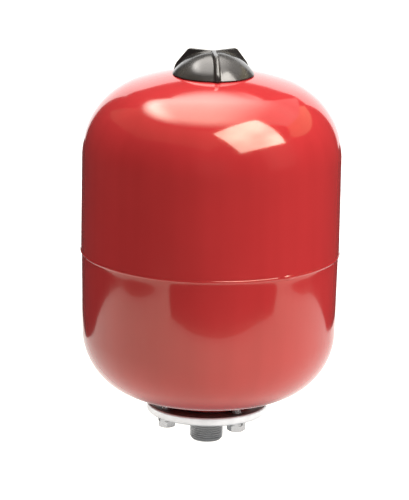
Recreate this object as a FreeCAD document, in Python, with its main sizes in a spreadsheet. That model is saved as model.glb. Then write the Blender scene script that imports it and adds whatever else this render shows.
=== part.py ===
import FreeCAD, Part
import math
import os

import Sketcher

# Expansion vessel for a heating system, 8 litre class, in millimetres.
# The vessel's axis is Z. The origin is the centre of the connection flange's underside, where the
# threaded nipple starts: the nipple hangs below it, and the two shells stand above it.

V = FreeCAD.Vector

# Alias, value and meaning of each driving dimension.
DIMENSIONS = (
    ("body_radius", 102.5, "outside radius of the upper shell"),
    ("wall", 1.0, "sheet thickness of both shells"),
    ("crown_radius", 195.0, "dish radius of both ends"),
    ("seam_height", 132.6, "height of the seam between the shells"),
    ("rim_gap", 0.8, "from the seam line up to the upper shell's rim"),
    ("upper_straight_top", 209.5, "height where the upper knuckle starts"),
    ("upper_knuckle", 60.0, "knuckle radius of the upper shell"),
    ("valve_hole_radius", 12.0, "hole in the crown for the valve boss"),
    ("lower_radius", 101.9, "outside radius of the lower shell at the seam"),
    ("lower_slope", 0.02, "radius lost for each millimetre down the lower shell"),
    ("lower_straight_end", 66.7, "height where the lower knuckle starts"),
    ("lower_knuckle", 52.6, "knuckle radius of the lower shell"),
    ("lip_radius", 101.4, "outside radius of the lower shell's lip inside the upper shell"),
    ("lip_length", 8.0, "height of the lip above the seam"),
    ("joggle", 1.0, "height of the step from the lower shell into its lip"),
    ("shoulder_drop", 0.2, "from the seam down to the step's lower corner, less the step"),
    ("seat_height", 12.3, "height of the flat seat around the lower opening"),
    ("neck_radius", 34.0, "outside radius of the neck in the lower opening"),
    ("neck_bottom", 7.6, "height of the neck's free edge"),
    ("bead_centre_radius", 101.75, "centre of the seam weld's round"),
    ("bead_edge_radius", 102.1, "where the seam weld's round ends"),
    ("bead_half_height", 1.3, "half the height of the seam weld"),
    ("bead_drop", 0.65, "from the seam down to the middle of the seam weld"),
    ("bolt_circle", 39.3, "radius of the circle through the flange bolts"),
    ("bolt_angle", 36.5, "angle of the first bolt about Z, in degrees"),
    ("bolt_hole_radius", 4.5, "clearance hole for an M8 bolt"),
    ("bolt_radius", 3.95, "shank radius of an M8 bolt"),
    ("bolt_tap_radius", 4.0, "tapped hole for an M8 bolt"),
    ("bolt_length", 20.0, "length under the head"),
    ("bolt_head_flats", 13.0, "across the flats of the head"),
    ("bolt_head_height", 5.3, "height of the head"),
    ("bolt_twist", -6.5, "angle from the radial line to the head's first corner, in degrees"),
    ("washer_outer_radius", 7.4, "outside radius of a lock washer"),
    ("washer_inner_radius", 4.1, "hole radius of a lock washer"),
    ("washer_thickness", 2.0, "thickness of a lock washer"),
    ("washer_split", 1.2, "width of the cut through a lock washer"),
    ("ring_inner_radius", 27.0, "bore radius of the counter flange"),
    ("ring_outer_radius", 45.0, "outside radius of the counter flange"),
    ("ring_thickness", 8.0, "thickness of the counter flange"),
    ("tap_depth", 6.5, "depth of the blind tapped holes"),
    ("fillet_leg", 3.0, "leg of the small fillet welds"),
    ("flange_radius", 48.0, "outside radius of the connection flange"),
    ("flange_thickness", 7.0, "thickness of the connection flange"),
    ("flange_round", 1.6, "round on the flange's upper edge"),
    ("flange_chamfer", 0.6, "chamfer on the flange's lower edge"),
    ("thread_radius", 13.22, "major radius of the G 3/4 pipe thread"),
    ("nipple_length", 24.4, "length of the nipple below the flange"),
    ("nipple_chamfer", 2.4, "chamfer on the nipple's free end"),
    ("nipple_bore", 9.5, "radius of the water way"),
    ("nipple_shank", 12.6, "radius of the nipple inside the flange"),
    ("nipple_stand", 1.5, "height of the nipple above the flange"),
    ("press_gap", 0.05, "radial gap between fixed round fits"),
    ("bag_radius", 72.0, "outside radius of the membrane"),
    ("bag_wall", 2.0, "thickness of the membrane"),
    ("bag_low_centre", 93.6, "height of the lower round's centre"),
    ("bag_high_centre", 135.6, "height of the upper round's centre"),
    ("bag_neck_radius", 26.8, "outside radius of the membrane's neck"),
    ("bead_radius", 32.8, "outside radius of the membrane's sealing bead"),
    ("bead_clearance", 0.1, "gap over the sealing bead"),
    ("boss_spigot_radius", 11.9, "radius of the valve boss inside the shell"),
    ("boss_bottom", 267.5, "height of the valve boss's lower face"),
    ("boss_shoulder", 276.1, "height of the shoulder that rests on the shell"),
    ("boss_top", 283.0, "height of the valve boss's upper face"),
    ("boss_radius", 14.0, "major radius of the boss's thread for the cover"),
    ("boss_recess_radius", 9.6, "radius of the recess around the valve"),
    ("boss_floor", 275.0, "height of the recess's floor"),
    ("stem_screw_radius", 4.8, "radius of the stem's screw into the boss"),
    ("gasket_thickness", 0.6, "thickness of the ring under the stem's hexagon"),
    ("gasket_radius", 6.8, "outside radius of that ring"),
    ("stem_flats", 12.0, "across the flats of the stem's hexagon"),
    ("stem_hex_height", 2.8, "height of the stem's hexagon"),
    ("stem_thread_radius", 3.85, "major radius of the valve thread"),
    ("stem_top", 283.4, "height of the stem's mouth"),
    ("stem_bottom", 265.0, "height of the stem's lower end"),
    ("stem_bore", 2.65, "radius of the chamber for the valve core"),
    ("stem_ledge", 268.0, "height of the ledge that carries the core spring"),
    ("stem_outlet", 1.4, "radius of the hole below the ledge"),
    ("core_radius", 2.55, "outside radius of the core's barrel"),
    ("core_bore", 1.1, "bore radius of the core's barrel"),
    ("core_bottom", 273.0, "height of the barrel's lower face"),
    ("core_top", 282.0, "height of the barrel's upper face"),
    ("core_groove_radius", 2.0, "radius of the groove for the core's sealing ring"),
    ("core_groove_bottom", 274.0, "height of the groove's lower side"),
    ("core_groove_top", 276.0, "height of the groove's upper side"),
    ("core_ring_radius", 2.6, "outside radius of the core's sealing ring"),
    ("pin_radius", 0.6, "radius of the core pin"),
    ("pin_top", 283.1, "height of the pin's upper end"),
    ("pin_bottom", 269.8, "height of the pin's lower end"),
    ("poppet_radius", 1.9, "radius of the pin's plate and of its seal"),
    ("poppet_thickness", 1.0, "thickness of the pin's plate"),
    ("poppet_seal_thickness", 0.8, "thickness of the seal on the plate"),
    ("spring_radius", 1.55, "mean radius of the core spring"),
    ("spring_wire", 0.18, "wire radius of the core spring"),
    ("spring_turns", 4.0, "turns of the core spring"),
    ("cap_radius", 4.9, "outside radius of the dust cap"),
    ("cap_bore", 3.92, "bore radius of the dust cap"),
    ("cap_bottom", 279.0, "height of the dust cap's open end"),
    ("cap_ceiling", 284.1, "height of the dust cap's inside"),
    ("cap_top", 285.3, "height of the dust cap's top"),
    ("cap_seal_radius", 3.7, "radius of the dust cap's seal"),
    ("cover_radius", 32.4, "outside radius of the valve cover's dome at its base"),
    ("cover_base", 274.35, "height of the valve cover's rim"),
    ("dome_height", 17.25, "height of the dome above its rim"),
    ("cover_wall", 2.0, "wall of the valve cover"),
    ("socket_radius", 14.08, "radius of the cover's threaded socket"),
    ("socket_wall", 2.9, "wall of the socket"),
    ("socket_bottom", 276.9, "height of the socket's open end"),
    ("socket_ceiling", 284.6, "height of the step over the cover seal"),
    ("socket_eye_radius", 10.0, "radius of the space above that step"),
    ("cover_seal_inner_radius", 10.3, "hole radius of the cover seal"),
    ("cover_seal_outer_radius", 13.8, "outside radius of the cover seal"),
    ("fin_angle", 36.0, "angle of the first fin about Z, in degrees"),
    ("fin_thickness", 3.6, "thickness of a fin"),
    ("fin_top", 292.6, "height of the fins"),
    ("fin_shoulder_radius", 21.5, "radius where a fin's top starts to slope"),
    ("fin_knee_radius", 33.0, "radius where the slope turns down"),
    ("fin_knee_height", 278.6, "height where the slope turns down"),
    ("fin_foot_radius", 33.5, "radius of a fin at its foot"),
    ("contact_gap", 0.05, "gap between faces that only meet"),
    ("hex_overlap", 0.5, "how far the stem's hexagon reaches into its round"),
    ("cut_excess", 1.0, "how far a cut runs past the face it ends at"),
)

BOLTS = 4
FINS = 3

# A coordinate smaller than this, in millimetres, counts as zero.
ZERO_LENGTH = 1e-9
# A cut has to take at least this volume, in cubic millimetres.
LEAST_CUT = 1e-3


class Size:
    """A number together with the sheet expression that gives it."""

    def __init__(self, value, text):
        self.value = value
        self.text = text

    def __add__(self, other):
        other = as_size(other)
        return Size(self.value + other.value, f"({self.text} + {other.text})")

    def __sub__(self, other):
        other = as_size(other)
        return Size(self.value - other.value, f"({self.text} - {other.text})")

    def __mul__(self, other):
        other = as_size(other)
        return Size(self.value * other.value, f"({self.text} * {other.text})")

    def __truediv__(self, other):
        other = as_size(other)
        return Size(self.value / other.value, f"({self.text} / {other.text})")

    def __neg__(self):
        return Size(-self.value, f"(0 - {self.text})")


def as_size(number):
    """A Size as it is, or a plain number as one."""
    if isinstance(number, Size):
        return number
    return Size(float(number), f"({float(number):.12f})")


def root(size):
    """Square root of a Size."""
    return Size(math.sqrt(size.value), f"sqrt({size.text})")


class Dims:
    """The driving dimensions by name, each a Size bound to its cell of the sheet."""

    def __init__(self, rows):
        for alias, value, _meaning in rows:
            setattr(self, alias, Size(value, f"dims.{alias}"))


D = Dims(DIMENSIONS)
ZERO = as_size(0)


class Corner:
    """A corner of an outline. With a bend, the edge to the next corner is an arc about that centre."""

    def __init__(self, x, y, bend=None):
        self.x = as_size(x)
        self.y = as_size(y)
        self.bend = bend

    def point(self):
        return V(self.x.value, self.y.value, 0)


class Bend:
    """Centre and radius of an arc that is less than half a circle."""

    def __init__(self, x, y, radius):
        self.centre = V(as_size(x).value, as_size(y).value, 0)
        self.radius = radius

    def arc(self, start, end):
        """The arc between two points, and whether it runs from start to end anticlockwise."""
        before = start - self.centre
        after = end - self.centre
        forward = before.cross(after).z > 0
        first, last = (before, after) if forward else (after, before)
        first_angle = math.atan2(first.y, first.x)
        turn = first.getAngle(last)
        whole = Part.Circle(self.centre, V(0, 0, 1), self.radius.value)
        return Part.ArcOfCircle(whole, first_angle, first_angle + turn), forward


def write_sheet(doc):
    """Write the driving dimensions into a spreadsheet with one alias for each."""
    sheet = doc.addObject("Spreadsheet::Sheet", "dims")
    for row, (alias, value, meaning) in enumerate(DIMENSIONS, start=1):
        sheet.set(f"A{row}", meaning)
        sheet.set(f"B{row}", str(value))
        sheet.setAlias(f"B{row}", alias)
    doc.recompute()
    return sheet


def new_body(doc, label):
    """An empty body named after its sub-part."""
    body = doc.addObject("PartDesign::Body", label)
    body.Label = label
    return body


def new_sketch(body, name, role):
    """A sketch on the body's own origin plane of that role."""
    sketch = body.newObject("Sketcher::SketchObject", name)
    plane = next(item for item in body.Origin.OriginFeatures if item.Role == role)
    sketch.AttachmentSupport = [(plane, "")]
    sketch.MapMode = "FlatFace"
    return sketch


def bind(sketch, constraint, size):
    """Add a constraint whose value is a Size, and bind it to the sheet."""
    index = sketch.addConstraint(constraint)
    sketch.setExpression(f"Constraints[{index}]", size.text)


def place(sketch, edge, end, size, kind, axis):
    """Fix one coordinate of an edge's end, measured from the sketch's origin."""
    if abs(size.value) < ZERO_LENGTH:
        sketch.addConstraint(Sketcher.Constraint("PointOnObject", edge, end, axis))
    elif size.value > 0:
        bind(sketch, Sketcher.Constraint(kind, -1, 1, edge, end, size.value), size)
    else:
        bind(sketch, Sketcher.Constraint(kind, edge, end, -1, 1, -size.value), -size)


def draw(sketch, corners):
    """Draw a closed outline through the corners and fix each of them by its two coordinates."""
    ends = []
    for corner, following in zip(corners, corners[1:] + corners[:1]):
        start = corner.point()
        end = following.point()
        if corner.bend is None:
            edge = sketch.addGeometry(Part.LineSegment(start, end))
            ends.append((edge, 1, 2))
            continue
        arc, forward = corner.bend.arc(start, end)
        edge = sketch.addGeometry(arc)
        ends.append((edge, 1, 2) if forward else (edge, 2, 1))
        bind(sketch, Sketcher.Constraint("Radius", edge, corner.bend.radius.value), corner.bend.radius)
    for (edge, _first, last), (following, first, _last) in zip(ends, ends[1:] + ends[:1]):
        sketch.addConstraint(Sketcher.Constraint("Coincident", edge, last, following, first))
    for (edge, first, _last), corner in zip(ends, corners):
        place(sketch, edge, first, corner.x, "DistanceX", -2)
        place(sketch, edge, first, corner.y, "DistanceY", -1)


def circle(sketch, x, radius):
    """Draw a circle centred on the sketch's horizontal axis at x."""
    edge = sketch.addGeometry(Part.Circle(V(x.value, 0, 0), V(0, 0, 1), radius.value))
    bind(sketch, Sketcher.Constraint("Radius", edge, radius.value), radius)
    place(sketch, edge, 3, x, "DistanceX", -2)
    sketch.addConstraint(Sketcher.Constraint("PointOnObject", edge, 3, -1))


def box(left, right, low, high):
    """Corners of an upright rectangle."""
    return [Corner(left, low), Corner(right, low), Corner(right, high), Corner(left, high)]


def hexagon(x, flats, twist):
    """Corners of a hexagon centred on the horizontal axis at x, its first corner turned by twist degrees."""
    reach = flats / math.sqrt(3)
    angles = [math.radians(twist + 60 * step) for step in range(6)]
    return [Corner(x + reach * math.cos(a), reach * math.sin(a)) for a in angles]


def turned(doc, label, corners):
    """A body turned about Z from an outline of radii and heights."""
    body = new_body(doc, label)
    sketch = new_sketch(body, label + "_profile", "XZ_Plane")
    draw(sketch, corners)
    turn = body.newObject("PartDesign::Revolution", label + "_turn")
    turn.Profile = sketch
    turn.ReferenceAxis = (sketch, ["V_Axis"])
    turn.Angle = 360
    sketch.Visibility = False
    doc.recompute()
    return body


def grooved(doc, body, name, corners):
    """Cut a turned space out of a body, and make sure that it cut something."""
    before = body.Shape.Volume
    sketch = new_sketch(body, name + "_profile", "XZ_Plane")
    draw(sketch, corners)
    groove = body.newObject("PartDesign::Groove", name)
    groove.Profile = sketch
    groove.ReferenceAxis = (sketch, ["V_Axis"])
    groove.Angle = 360
    doc.recompute()
    must_shrink(body, before, name)


def must_shrink(body, before, name):
    """Stop if a cut removed nothing."""
    if body.Shape.Volume > before - LEAST_CUT:
        raise RuntimeError(f"{name} cuts nothing out of {body.Label}")


def pad(doc, body, sketch, name, length, reverse=False, middle=False):
    """Thicken a sketch."""
    feature = body.newObject("PartDesign::Pad", name)
    feature.Profile = sketch
    feature.Length = length.value
    feature.setExpression("Length", length.text)
    feature.Reversed = reverse
    feature.Midplane = middle
    doc.recompute()
    return feature


def raised_sketch(body, name, height):
    """A sketch parallel to the XY plane at a height."""
    sketch = new_sketch(body, name, "XY_Plane")
    sketch.AttachmentOffset = FreeCAD.Placement(V(0, 0, height.value), FreeCAD.Rotation())
    sketch.setExpression("AttachmentOffset.Base.z", height.text)
    return sketch


def repeat(doc, body, features, count, name):
    """Repeat features evenly around Z."""
    pattern = body.newObject("PartDesign::PolarPattern", name)
    pattern.Originals = features
    axis = next(item for item in body.Origin.OriginFeatures if item.Role == "Z_Axis")
    pattern.Axis = (axis, [""])
    pattern.Angle = 360
    pattern.Occurrences = count
    body.Tip = pattern
    doc.recompute()


def drill_bolt_circle(doc, body, radius, low, depth):
    """Cut the holes of the bolt circle into a body, from a height upwards."""
    before = body.Shape.Volume
    name = body.Label + "_hole"
    sketch = raised_sketch(body, name + "_circle", low)
    circle(sketch, D.bolt_circle, radius)
    hole = body.newObject("PartDesign::Pocket", name)
    hole.Profile = sketch
    hole.Length = depth.value
    hole.setExpression("Length", depth.text)
    hole.Reversed = True
    doc.recompute()
    must_shrink(body, before, name)
    one = before - body.Shape.Volume
    repeat(doc, body, [hole], BOLTS, name + "s")
    if before - body.Shape.Volume < (BOLTS - 0.1) * one:
        raise RuntimeError(f"{name} is missing from the pattern")
    turn_about_axis(body, D.bolt_angle)


def turn_about_axis(body, angle):
    """Turn a finished body about Z."""
    body.Placement = FreeCAD.Placement(V(0, 0, 0), FreeCAD.Rotation(V(0, 0, 1), angle.value))
    body.setExpression("Placement.Rotation.Angle", angle.text)


# Heights and radii that follow from the driving dimensions.

UPPER_CENTRE = D.body_radius - D.upper_knuckle
UPPER_DISH = D.upper_straight_top - root(
    (D.crown_radius - D.upper_knuckle) * (D.crown_radius - D.upper_knuckle) - UPPER_CENTRE * UPPER_CENTRE
)
SLOPE_LENGTH = root(D.lower_slope * D.lower_slope + 1)
SIDE_OUT = as_size(1) / SLOPE_LENGTH
SIDE_DOWN = D.lower_slope / SLOPE_LENGTH
SHOULDER = D.seam_height - D.joggle - D.shoulder_drop
LOWER_EDGE = D.lower_radius - D.lower_slope * (SHOULDER - D.lower_straight_end)
LOWER_CENTRE = LOWER_EDGE - D.lower_knuckle * SIDE_OUT
LOWER_CENTRE_HEIGHT = D.lower_straight_end + D.lower_knuckle * SIDE_DOWN
LOWER_DISH = LOWER_CENTRE_HEIGHT + root(
    (D.crown_radius - D.lower_knuckle) * (D.crown_radius - D.lower_knuckle) - LOWER_CENTRE * LOWER_CENTRE
)
SEAT_TOP = D.seat_height + D.wall
DOME_RADIUS = (D.cover_radius * D.cover_radius + D.dome_height * D.dome_height) / (D.dome_height * 2)
DOME_CENTRE = D.cover_base + D.dome_height - DOME_RADIUS
HEX_BOTTOM = D.boss_floor + D.gasket_thickness
HEX_TOP = HEX_BOTTOM + D.stem_hex_height
PLATE_TOP = D.core_bottom - D.poppet_seal_thickness
PLATE_BOTTOM = PLATE_TOP - D.poppet_thickness


def on_sphere(centre_height, radius, distance, sign):
    """Height of a sphere's surface at a distance from the axis, above (1) or below (-1) its centre."""
    return centre_height + root(radius * radius - distance * distance) * sign


def along_dish(dish, centre_x, centre_y, knuckle, radius):
    """The point where a dish of that radius runs into its knuckle."""
    share = radius / (D.crown_radius - knuckle)
    return centre_x * share, dish + (centre_y - dish) * share


def upper_shell(doc):
    """Deep-drawn upper half with the hole for the valve boss in its crown."""
    inner_dish = D.crown_radius - D.wall
    join = along_dish(UPPER_DISH, UPPER_CENTRE, D.upper_straight_top, D.upper_knuckle, D.crown_radius)
    inner_join = along_dish(UPPER_DISH, UPPER_CENTRE, D.upper_straight_top, D.upper_knuckle, inner_dish)
    knuckle = Bend(UPPER_CENTRE, D.upper_straight_top, D.upper_knuckle)
    inner_knuckle = Bend(UPPER_CENTRE, D.upper_straight_top, D.upper_knuckle - D.wall)
    dish = Bend(0, UPPER_DISH, D.crown_radius)
    inside = Bend(0, UPPER_DISH, inner_dish)
    hole = D.valve_hole_radius
    rim = D.seam_height + D.rim_gap
    turned(doc, "upper_shell", [
        Corner(D.body_radius, rim),
        Corner(D.body_radius, D.upper_straight_top, knuckle),
        Corner(*join, dish),
        Corner(hole, on_sphere(UPPER_DISH, D.crown_radius, hole, 1)),
        Corner(hole, on_sphere(UPPER_DISH, inner_dish, hole, 1), inside),
        Corner(*inner_join, inner_knuckle),
        Corner(D.body_radius - D.wall, D.upper_straight_top),
        Corner(D.body_radius - D.wall, rim),
    ])


def lower_shell(doc):
    """Deep-drawn lower half: lip, slightly tapered side, dished end, flat seat and short neck."""
    inner_dish = D.crown_radius - D.wall
    join = along_dish(LOWER_DISH, LOWER_CENTRE, LOWER_CENTRE_HEIGHT, D.lower_knuckle, D.crown_radius)
    inner_join = along_dish(LOWER_DISH, LOWER_CENTRE, LOWER_CENTRE_HEIGHT, D.lower_knuckle, inner_dish)
    knuckle = Bend(LOWER_CENTRE, LOWER_CENTRE_HEIGHT, D.lower_knuckle)
    inner_knuckle = Bend(LOWER_CENTRE, LOWER_CENTRE_HEIGHT, D.lower_knuckle - D.wall)
    dish = Bend(0, LOWER_DISH, D.crown_radius)
    inside = Bend(0, LOWER_DISH, inner_dish)
    seat_depth = LOWER_DISH - D.seat_height
    inner_depth = LOWER_DISH - SEAT_TOP
    seat_edge = root(D.crown_radius * D.crown_radius - seat_depth * seat_depth)
    inner_seat_edge = root(inner_dish * inner_dish - inner_depth * inner_depth)
    inner_neck = D.neck_radius - D.wall
    lip_top = D.seam_height + D.lip_length
    lip_foot = SHOULDER + D.joggle
    body = turned(doc, "lower_shell", [
        Corner(D.lip_radius, lip_top),
        Corner(D.lip_radius, lip_foot),
        Corner(D.lower_radius, SHOULDER),
        Corner(LOWER_EDGE, D.lower_straight_end, knuckle),
        Corner(*join, dish),
        Corner(seat_edge, D.seat_height),
        Corner(D.neck_radius, D.seat_height),
        Corner(D.neck_radius, D.neck_bottom),
        Corner(inner_neck, D.neck_bottom),
        Corner(inner_neck, SEAT_TOP),
        Corner(inner_seat_edge, SEAT_TOP, inside),
        Corner(*inner_join, inner_knuckle),
        Corner(LOWER_EDGE - D.wall * SIDE_OUT, D.lower_straight_end + D.wall * SIDE_DOWN),
        Corner(D.lower_radius - D.wall * SIDE_OUT, SHOULDER + D.wall * SIDE_DOWN),
        Corner(D.lip_radius - D.wall, lip_foot),
        Corner(D.lip_radius - D.wall, lip_top),
    ])
    drill_bolt_circle(doc, body, D.bolt_hole_radius, D.neck_bottom, SEAT_TOP - D.neck_bottom + D.cut_excess)


def seam_weld(doc):
    """Bead that fills the groove between the two shells and stands a little proud of them."""
    middle = D.seam_height - D.bead_drop
    reach = D.bead_edge_radius - D.bead_centre_radius
    radius = root(D.bead_half_height * D.bead_half_height + reach * reach)
    top = middle + D.bead_half_height
    bottom = middle - D.bead_half_height
    root_radius = D.lip_radius + D.press_gap
    turned(doc, "seam_weld", [
        Corner(D.bead_edge_radius, top, Bend(D.bead_centre_radius, middle, radius)),
        Corner(D.bead_edge_radius, bottom),
        Corner(D.lower_radius + D.press_gap, bottom),
        Corner(D.lower_radius + D.press_gap, SHOULDER + D.press_gap),
        Corner(root_radius, SHOULDER + D.joggle + D.press_gap),
        Corner(root_radius, top),
    ])


def counter_flange(doc):
    """Thick ring inside the lower shell with blind tapped holes for the flange bolts."""
    top = SEAT_TOP + D.ring_thickness
    body = turned(doc, "counter_flange", box(D.ring_inner_radius, D.ring_outer_radius, SEAT_TOP, top))
    drill_bolt_circle(doc, body, D.bolt_tap_radius, SEAT_TOP, D.tap_depth)


def counter_flange_weld(doc):
    """Fillet weld that joins the counter flange to the lower shell."""
    inner_dish = D.crown_radius - D.wall
    inner_depth = LOWER_DISH - SEAT_TOP
    seat_edge = root(inner_dish * inner_dish - inner_depth * inner_depth)
    toe = D.ring_outer_radius + D.fillet_leg
    turned(doc, "counter_flange_weld", [
        Corner(D.ring_outer_radius, SEAT_TOP),
        Corner(seat_edge, SEAT_TOP + D.press_gap),
        Corner(toe, on_sphere(LOWER_DISH, inner_dish, toe, -1) + D.press_gap),
        Corner(D.ring_outer_radius, SEAT_TOP + D.fillet_leg),
    ])


def membrane(doc):
    """Rubber bag that holds the water, with the bead that the flange clamps."""
    inner_bag = D.bag_radius - D.bag_wall
    inner_neck = D.bag_neck_radius - D.bag_wall
    bead_top = SEAT_TOP - D.bead_clearance
    low = Bend(0, D.bag_low_centre, D.bag_radius)
    high = Bend(0, D.bag_high_centre, D.bag_radius)
    inner_low = Bend(0, D.bag_low_centre, inner_bag)
    inner_high = Bend(0, D.bag_high_centre, inner_bag)
    turned(doc, "membrane", [
        Corner(D.bead_radius, D.flange_thickness),
        Corner(D.bead_radius, bead_top),
        Corner(D.bag_neck_radius, bead_top),
        Corner(D.bag_neck_radius, on_sphere(D.bag_low_centre, D.bag_radius, D.bag_neck_radius, -1), low),
        Corner(D.bag_radius, D.bag_low_centre),
        Corner(D.bag_radius, D.bag_high_centre, high),
        Corner(0, D.bag_high_centre + D.bag_radius),
        Corner(0, D.bag_high_centre + inner_bag, inner_high),
        Corner(inner_bag, D.bag_high_centre),
        Corner(inner_bag, D.bag_low_centre, inner_low),
        Corner(inner_neck, on_sphere(D.bag_low_centre, inner_bag, inner_neck, -1)),
        Corner(inner_neck, D.flange_thickness),
    ])


def connection_flange(doc):
    """Plated steel plate with a rounded upper edge that carries the nipple."""
    hole = D.nipple_shank + D.press_gap
    edge = D.flange_radius - D.flange_round
    round_height = D.flange_thickness - D.flange_round
    body = turned(doc, "connection_flange", [
        Corner(hole, 0),
        Corner(D.flange_radius - D.flange_chamfer, 0),
        Corner(D.flange_radius, D.flange_chamfer),
        Corner(D.flange_radius, round_height, Bend(edge, round_height, D.flange_round)),
        Corner(edge, D.flange_thickness),
        Corner(hole, D.flange_thickness),
    ])
    drill_bolt_circle(doc, body, D.bolt_hole_radius, ZERO, D.flange_thickness)


def pipe_nipple(doc):
    """Nipple with the major diameter of its G 3/4 thread, and a thinner shank through the flange."""
    bottom = -D.nipple_length
    top = D.flange_thickness + D.nipple_stand
    turned(doc, "pipe_nipple", [
        Corner(D.nipple_bore, bottom),
        Corner(D.thread_radius - D.nipple_chamfer, bottom),
        Corner(D.thread_radius, bottom + D.nipple_chamfer),
        Corner(D.thread_radius, 0),
        Corner(D.nipple_shank, 0),
        Corner(D.nipple_shank, top),
        Corner(D.nipple_bore, top),
    ])


def nipple_weld(doc):
    """Fillet weld around the nipple on the flange's upper side."""
    start = D.nipple_shank + D.press_gap
    turned(doc, "nipple_weld", [
        Corner(start, D.flange_thickness),
        Corner(start + D.nipple_stand, D.flange_thickness),
        Corner(start, D.flange_thickness + D.nipple_stand),
    ])


def flange_bolts(doc):
    """Hexagon-head M8 bolts that go up through the flange into the counter flange."""
    body = new_body(doc, "flange_bolts")
    body.AllowCompound = True
    seat = -D.washer_thickness
    head = raised_sketch(body, "head_outline", seat)
    draw(head, hexagon(D.bolt_circle, D.bolt_head_flats, D.bolt_twist.value))
    head_pad = pad(doc, body, head, "head", D.bolt_head_height, reverse=True)
    shank = raised_sketch(body, "shank_outline", seat)
    circle(shank, D.bolt_circle, D.bolt_radius)
    shank_pad = pad(doc, body, shank, "shank", D.bolt_length)
    repeat(doc, body, [head_pad, shank_pad], BOLTS, "bolts_around")
    turn_about_axis(body, D.bolt_angle)


def lock_washers(doc):
    """Split lock washers between the bolt heads and the flange."""
    body = new_body(doc, "lock_washers")
    body.AllowCompound = True
    seat = -D.washer_thickness
    ring = raised_sketch(body, "ring_outline", seat)
    circle(ring, D.bolt_circle, D.washer_outer_radius)
    circle(ring, D.bolt_circle, D.washer_inner_radius)
    ring_pad = pad(doc, body, ring, "ring", D.washer_thickness)
    before = body.Shape.Volume
    split = raised_sketch(body, "split_outline", seat)
    start = D.bolt_circle + D.washer_inner_radius / 2
    end = D.bolt_circle + D.washer_outer_radius + D.cut_excess
    draw(split, box(start, end, -D.washer_split / 2, D.washer_split / 2))
    cut = body.newObject("PartDesign::Pocket", "split")
    cut.Profile = split
    cut.Length = D.washer_thickness.value
    cut.setExpression("Length", D.washer_thickness.text)
    cut.Reversed = True
    doc.recompute()
    must_shrink(body, before, "split")
    repeat(doc, body, [ring_pad, cut], BOLTS, "washers_around")
    turn_about_axis(body, D.bolt_angle)


def valve_boss(doc):
    """Steel boss welded into the crown: thread for the cover outside, recess and tapped hole inside."""
    screw = D.stem_screw_radius + D.press_gap
    turned(doc, "valve_boss", [
        Corner(screw, D.boss_bottom),
        Corner(D.boss_spigot_radius, D.boss_bottom),
        Corner(D.boss_spigot_radius, D.boss_shoulder),
        Corner(D.boss_radius, D.boss_shoulder),
        Corner(D.boss_radius, D.boss_top),
        Corner(D.boss_recess_radius, D.boss_top),
        Corner(D.boss_recess_radius, D.boss_floor),
        Corner(screw, D.boss_floor),
    ])


def boss_weld(doc):
    """Fillet weld around the valve boss on the inside of the crown."""
    inner_dish = D.crown_radius - D.wall
    start = D.boss_spigot_radius + D.press_gap
    toe = start + D.fillet_leg
    turned(doc, "boss_weld", [
        Corner(start, on_sphere(UPPER_DISH, inner_dish, toe, 1) - D.fillet_leg),
        Corner(toe, on_sphere(UPPER_DISH, inner_dish, toe, 1) - D.press_gap),
        Corner(start, on_sphere(UPPER_DISH, inner_dish, toe, 1) - D.press_gap),
    ])


def valve_stem(doc):
    """Brass valve stem: screw into the boss, hexagon, valve thread and chamber for the core."""
    body = turned(doc, "valve_stem", [
        Corner(D.stem_outlet, D.stem_bottom),
        Corner(D.stem_screw_radius, D.stem_bottom),
        Corner(D.stem_screw_radius, HEX_BOTTOM),
        Corner(D.stem_thread_radius, HEX_BOTTOM),
        Corner(D.stem_thread_radius, D.stem_top),
        Corner(D.stem_bore, D.stem_top),
        Corner(D.stem_bore, D.stem_ledge),
        Corner(D.stem_outlet, D.stem_ledge),
    ])
    sketch = raised_sketch(body, "stem_hexagon", HEX_BOTTOM)
    draw(sketch, hexagon(ZERO, D.stem_flats, 0))
    circle_at_axis(sketch, D.stem_thread_radius - D.hex_overlap)
    pad(doc, body, sketch, "stem_flats_pad", D.stem_hex_height)


def circle_at_axis(sketch, radius):
    """Draw a circle about the body's axis."""
    edge = sketch.addGeometry(Part.Circle(V(0, 0, 0), V(0, 0, 1), radius.value))
    sketch.addConstraint(Sketcher.Constraint("Coincident", edge, 3, -1, 1))
    bind(sketch, Sketcher.Constraint("Radius", edge, radius.value), radius)


def valve_gasket(doc):
    """Flat ring under the stem's hexagon."""
    inner = D.stem_screw_radius + D.press_gap
    turned(doc, "valve_gasket", box(inner, D.gasket_radius, D.boss_floor, HEX_BOTTOM))


def core_barrel(doc):
    """Barrel of the valve core, with the groove for its sealing ring."""
    turned(doc, "core_barrel", [
        Corner(D.core_bore, D.core_bottom),
        Corner(D.core_radius, D.core_bottom),
        Corner(D.core_radius, D.core_groove_bottom),
        Corner(D.core_groove_radius, D.core_groove_bottom),
        Corner(D.core_groove_radius, D.core_groove_top),
        Corner(D.core_radius, D.core_groove_top),
        Corner(D.core_radius, D.core_top),
        Corner(D.core_bore, D.core_top),
    ])


def core_ring(doc):
    """Sealing ring in the barrel's groove."""
    inner = D.core_groove_radius + D.press_gap
    low = D.core_groove_bottom + D.contact_gap
    high = D.core_groove_top - D.contact_gap
    turned(doc, "core_ring", box(inner, D.core_ring_radius, low, high))


def core_pin(doc):
    """Pin that opens the valve when it is pushed, with the plate that carries the seal."""
    turned(doc, "core_pin", [
        Corner(0, D.pin_bottom),
        Corner(D.pin_radius, D.pin_bottom),
        Corner(D.pin_radius, PLATE_BOTTOM),
        Corner(D.poppet_radius, PLATE_BOTTOM),
        Corner(D.poppet_radius, PLATE_TOP),
        Corner(D.pin_radius, PLATE_TOP),
        Corner(D.pin_radius, D.pin_top),
        Corner(0, D.pin_top),
    ])


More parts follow.
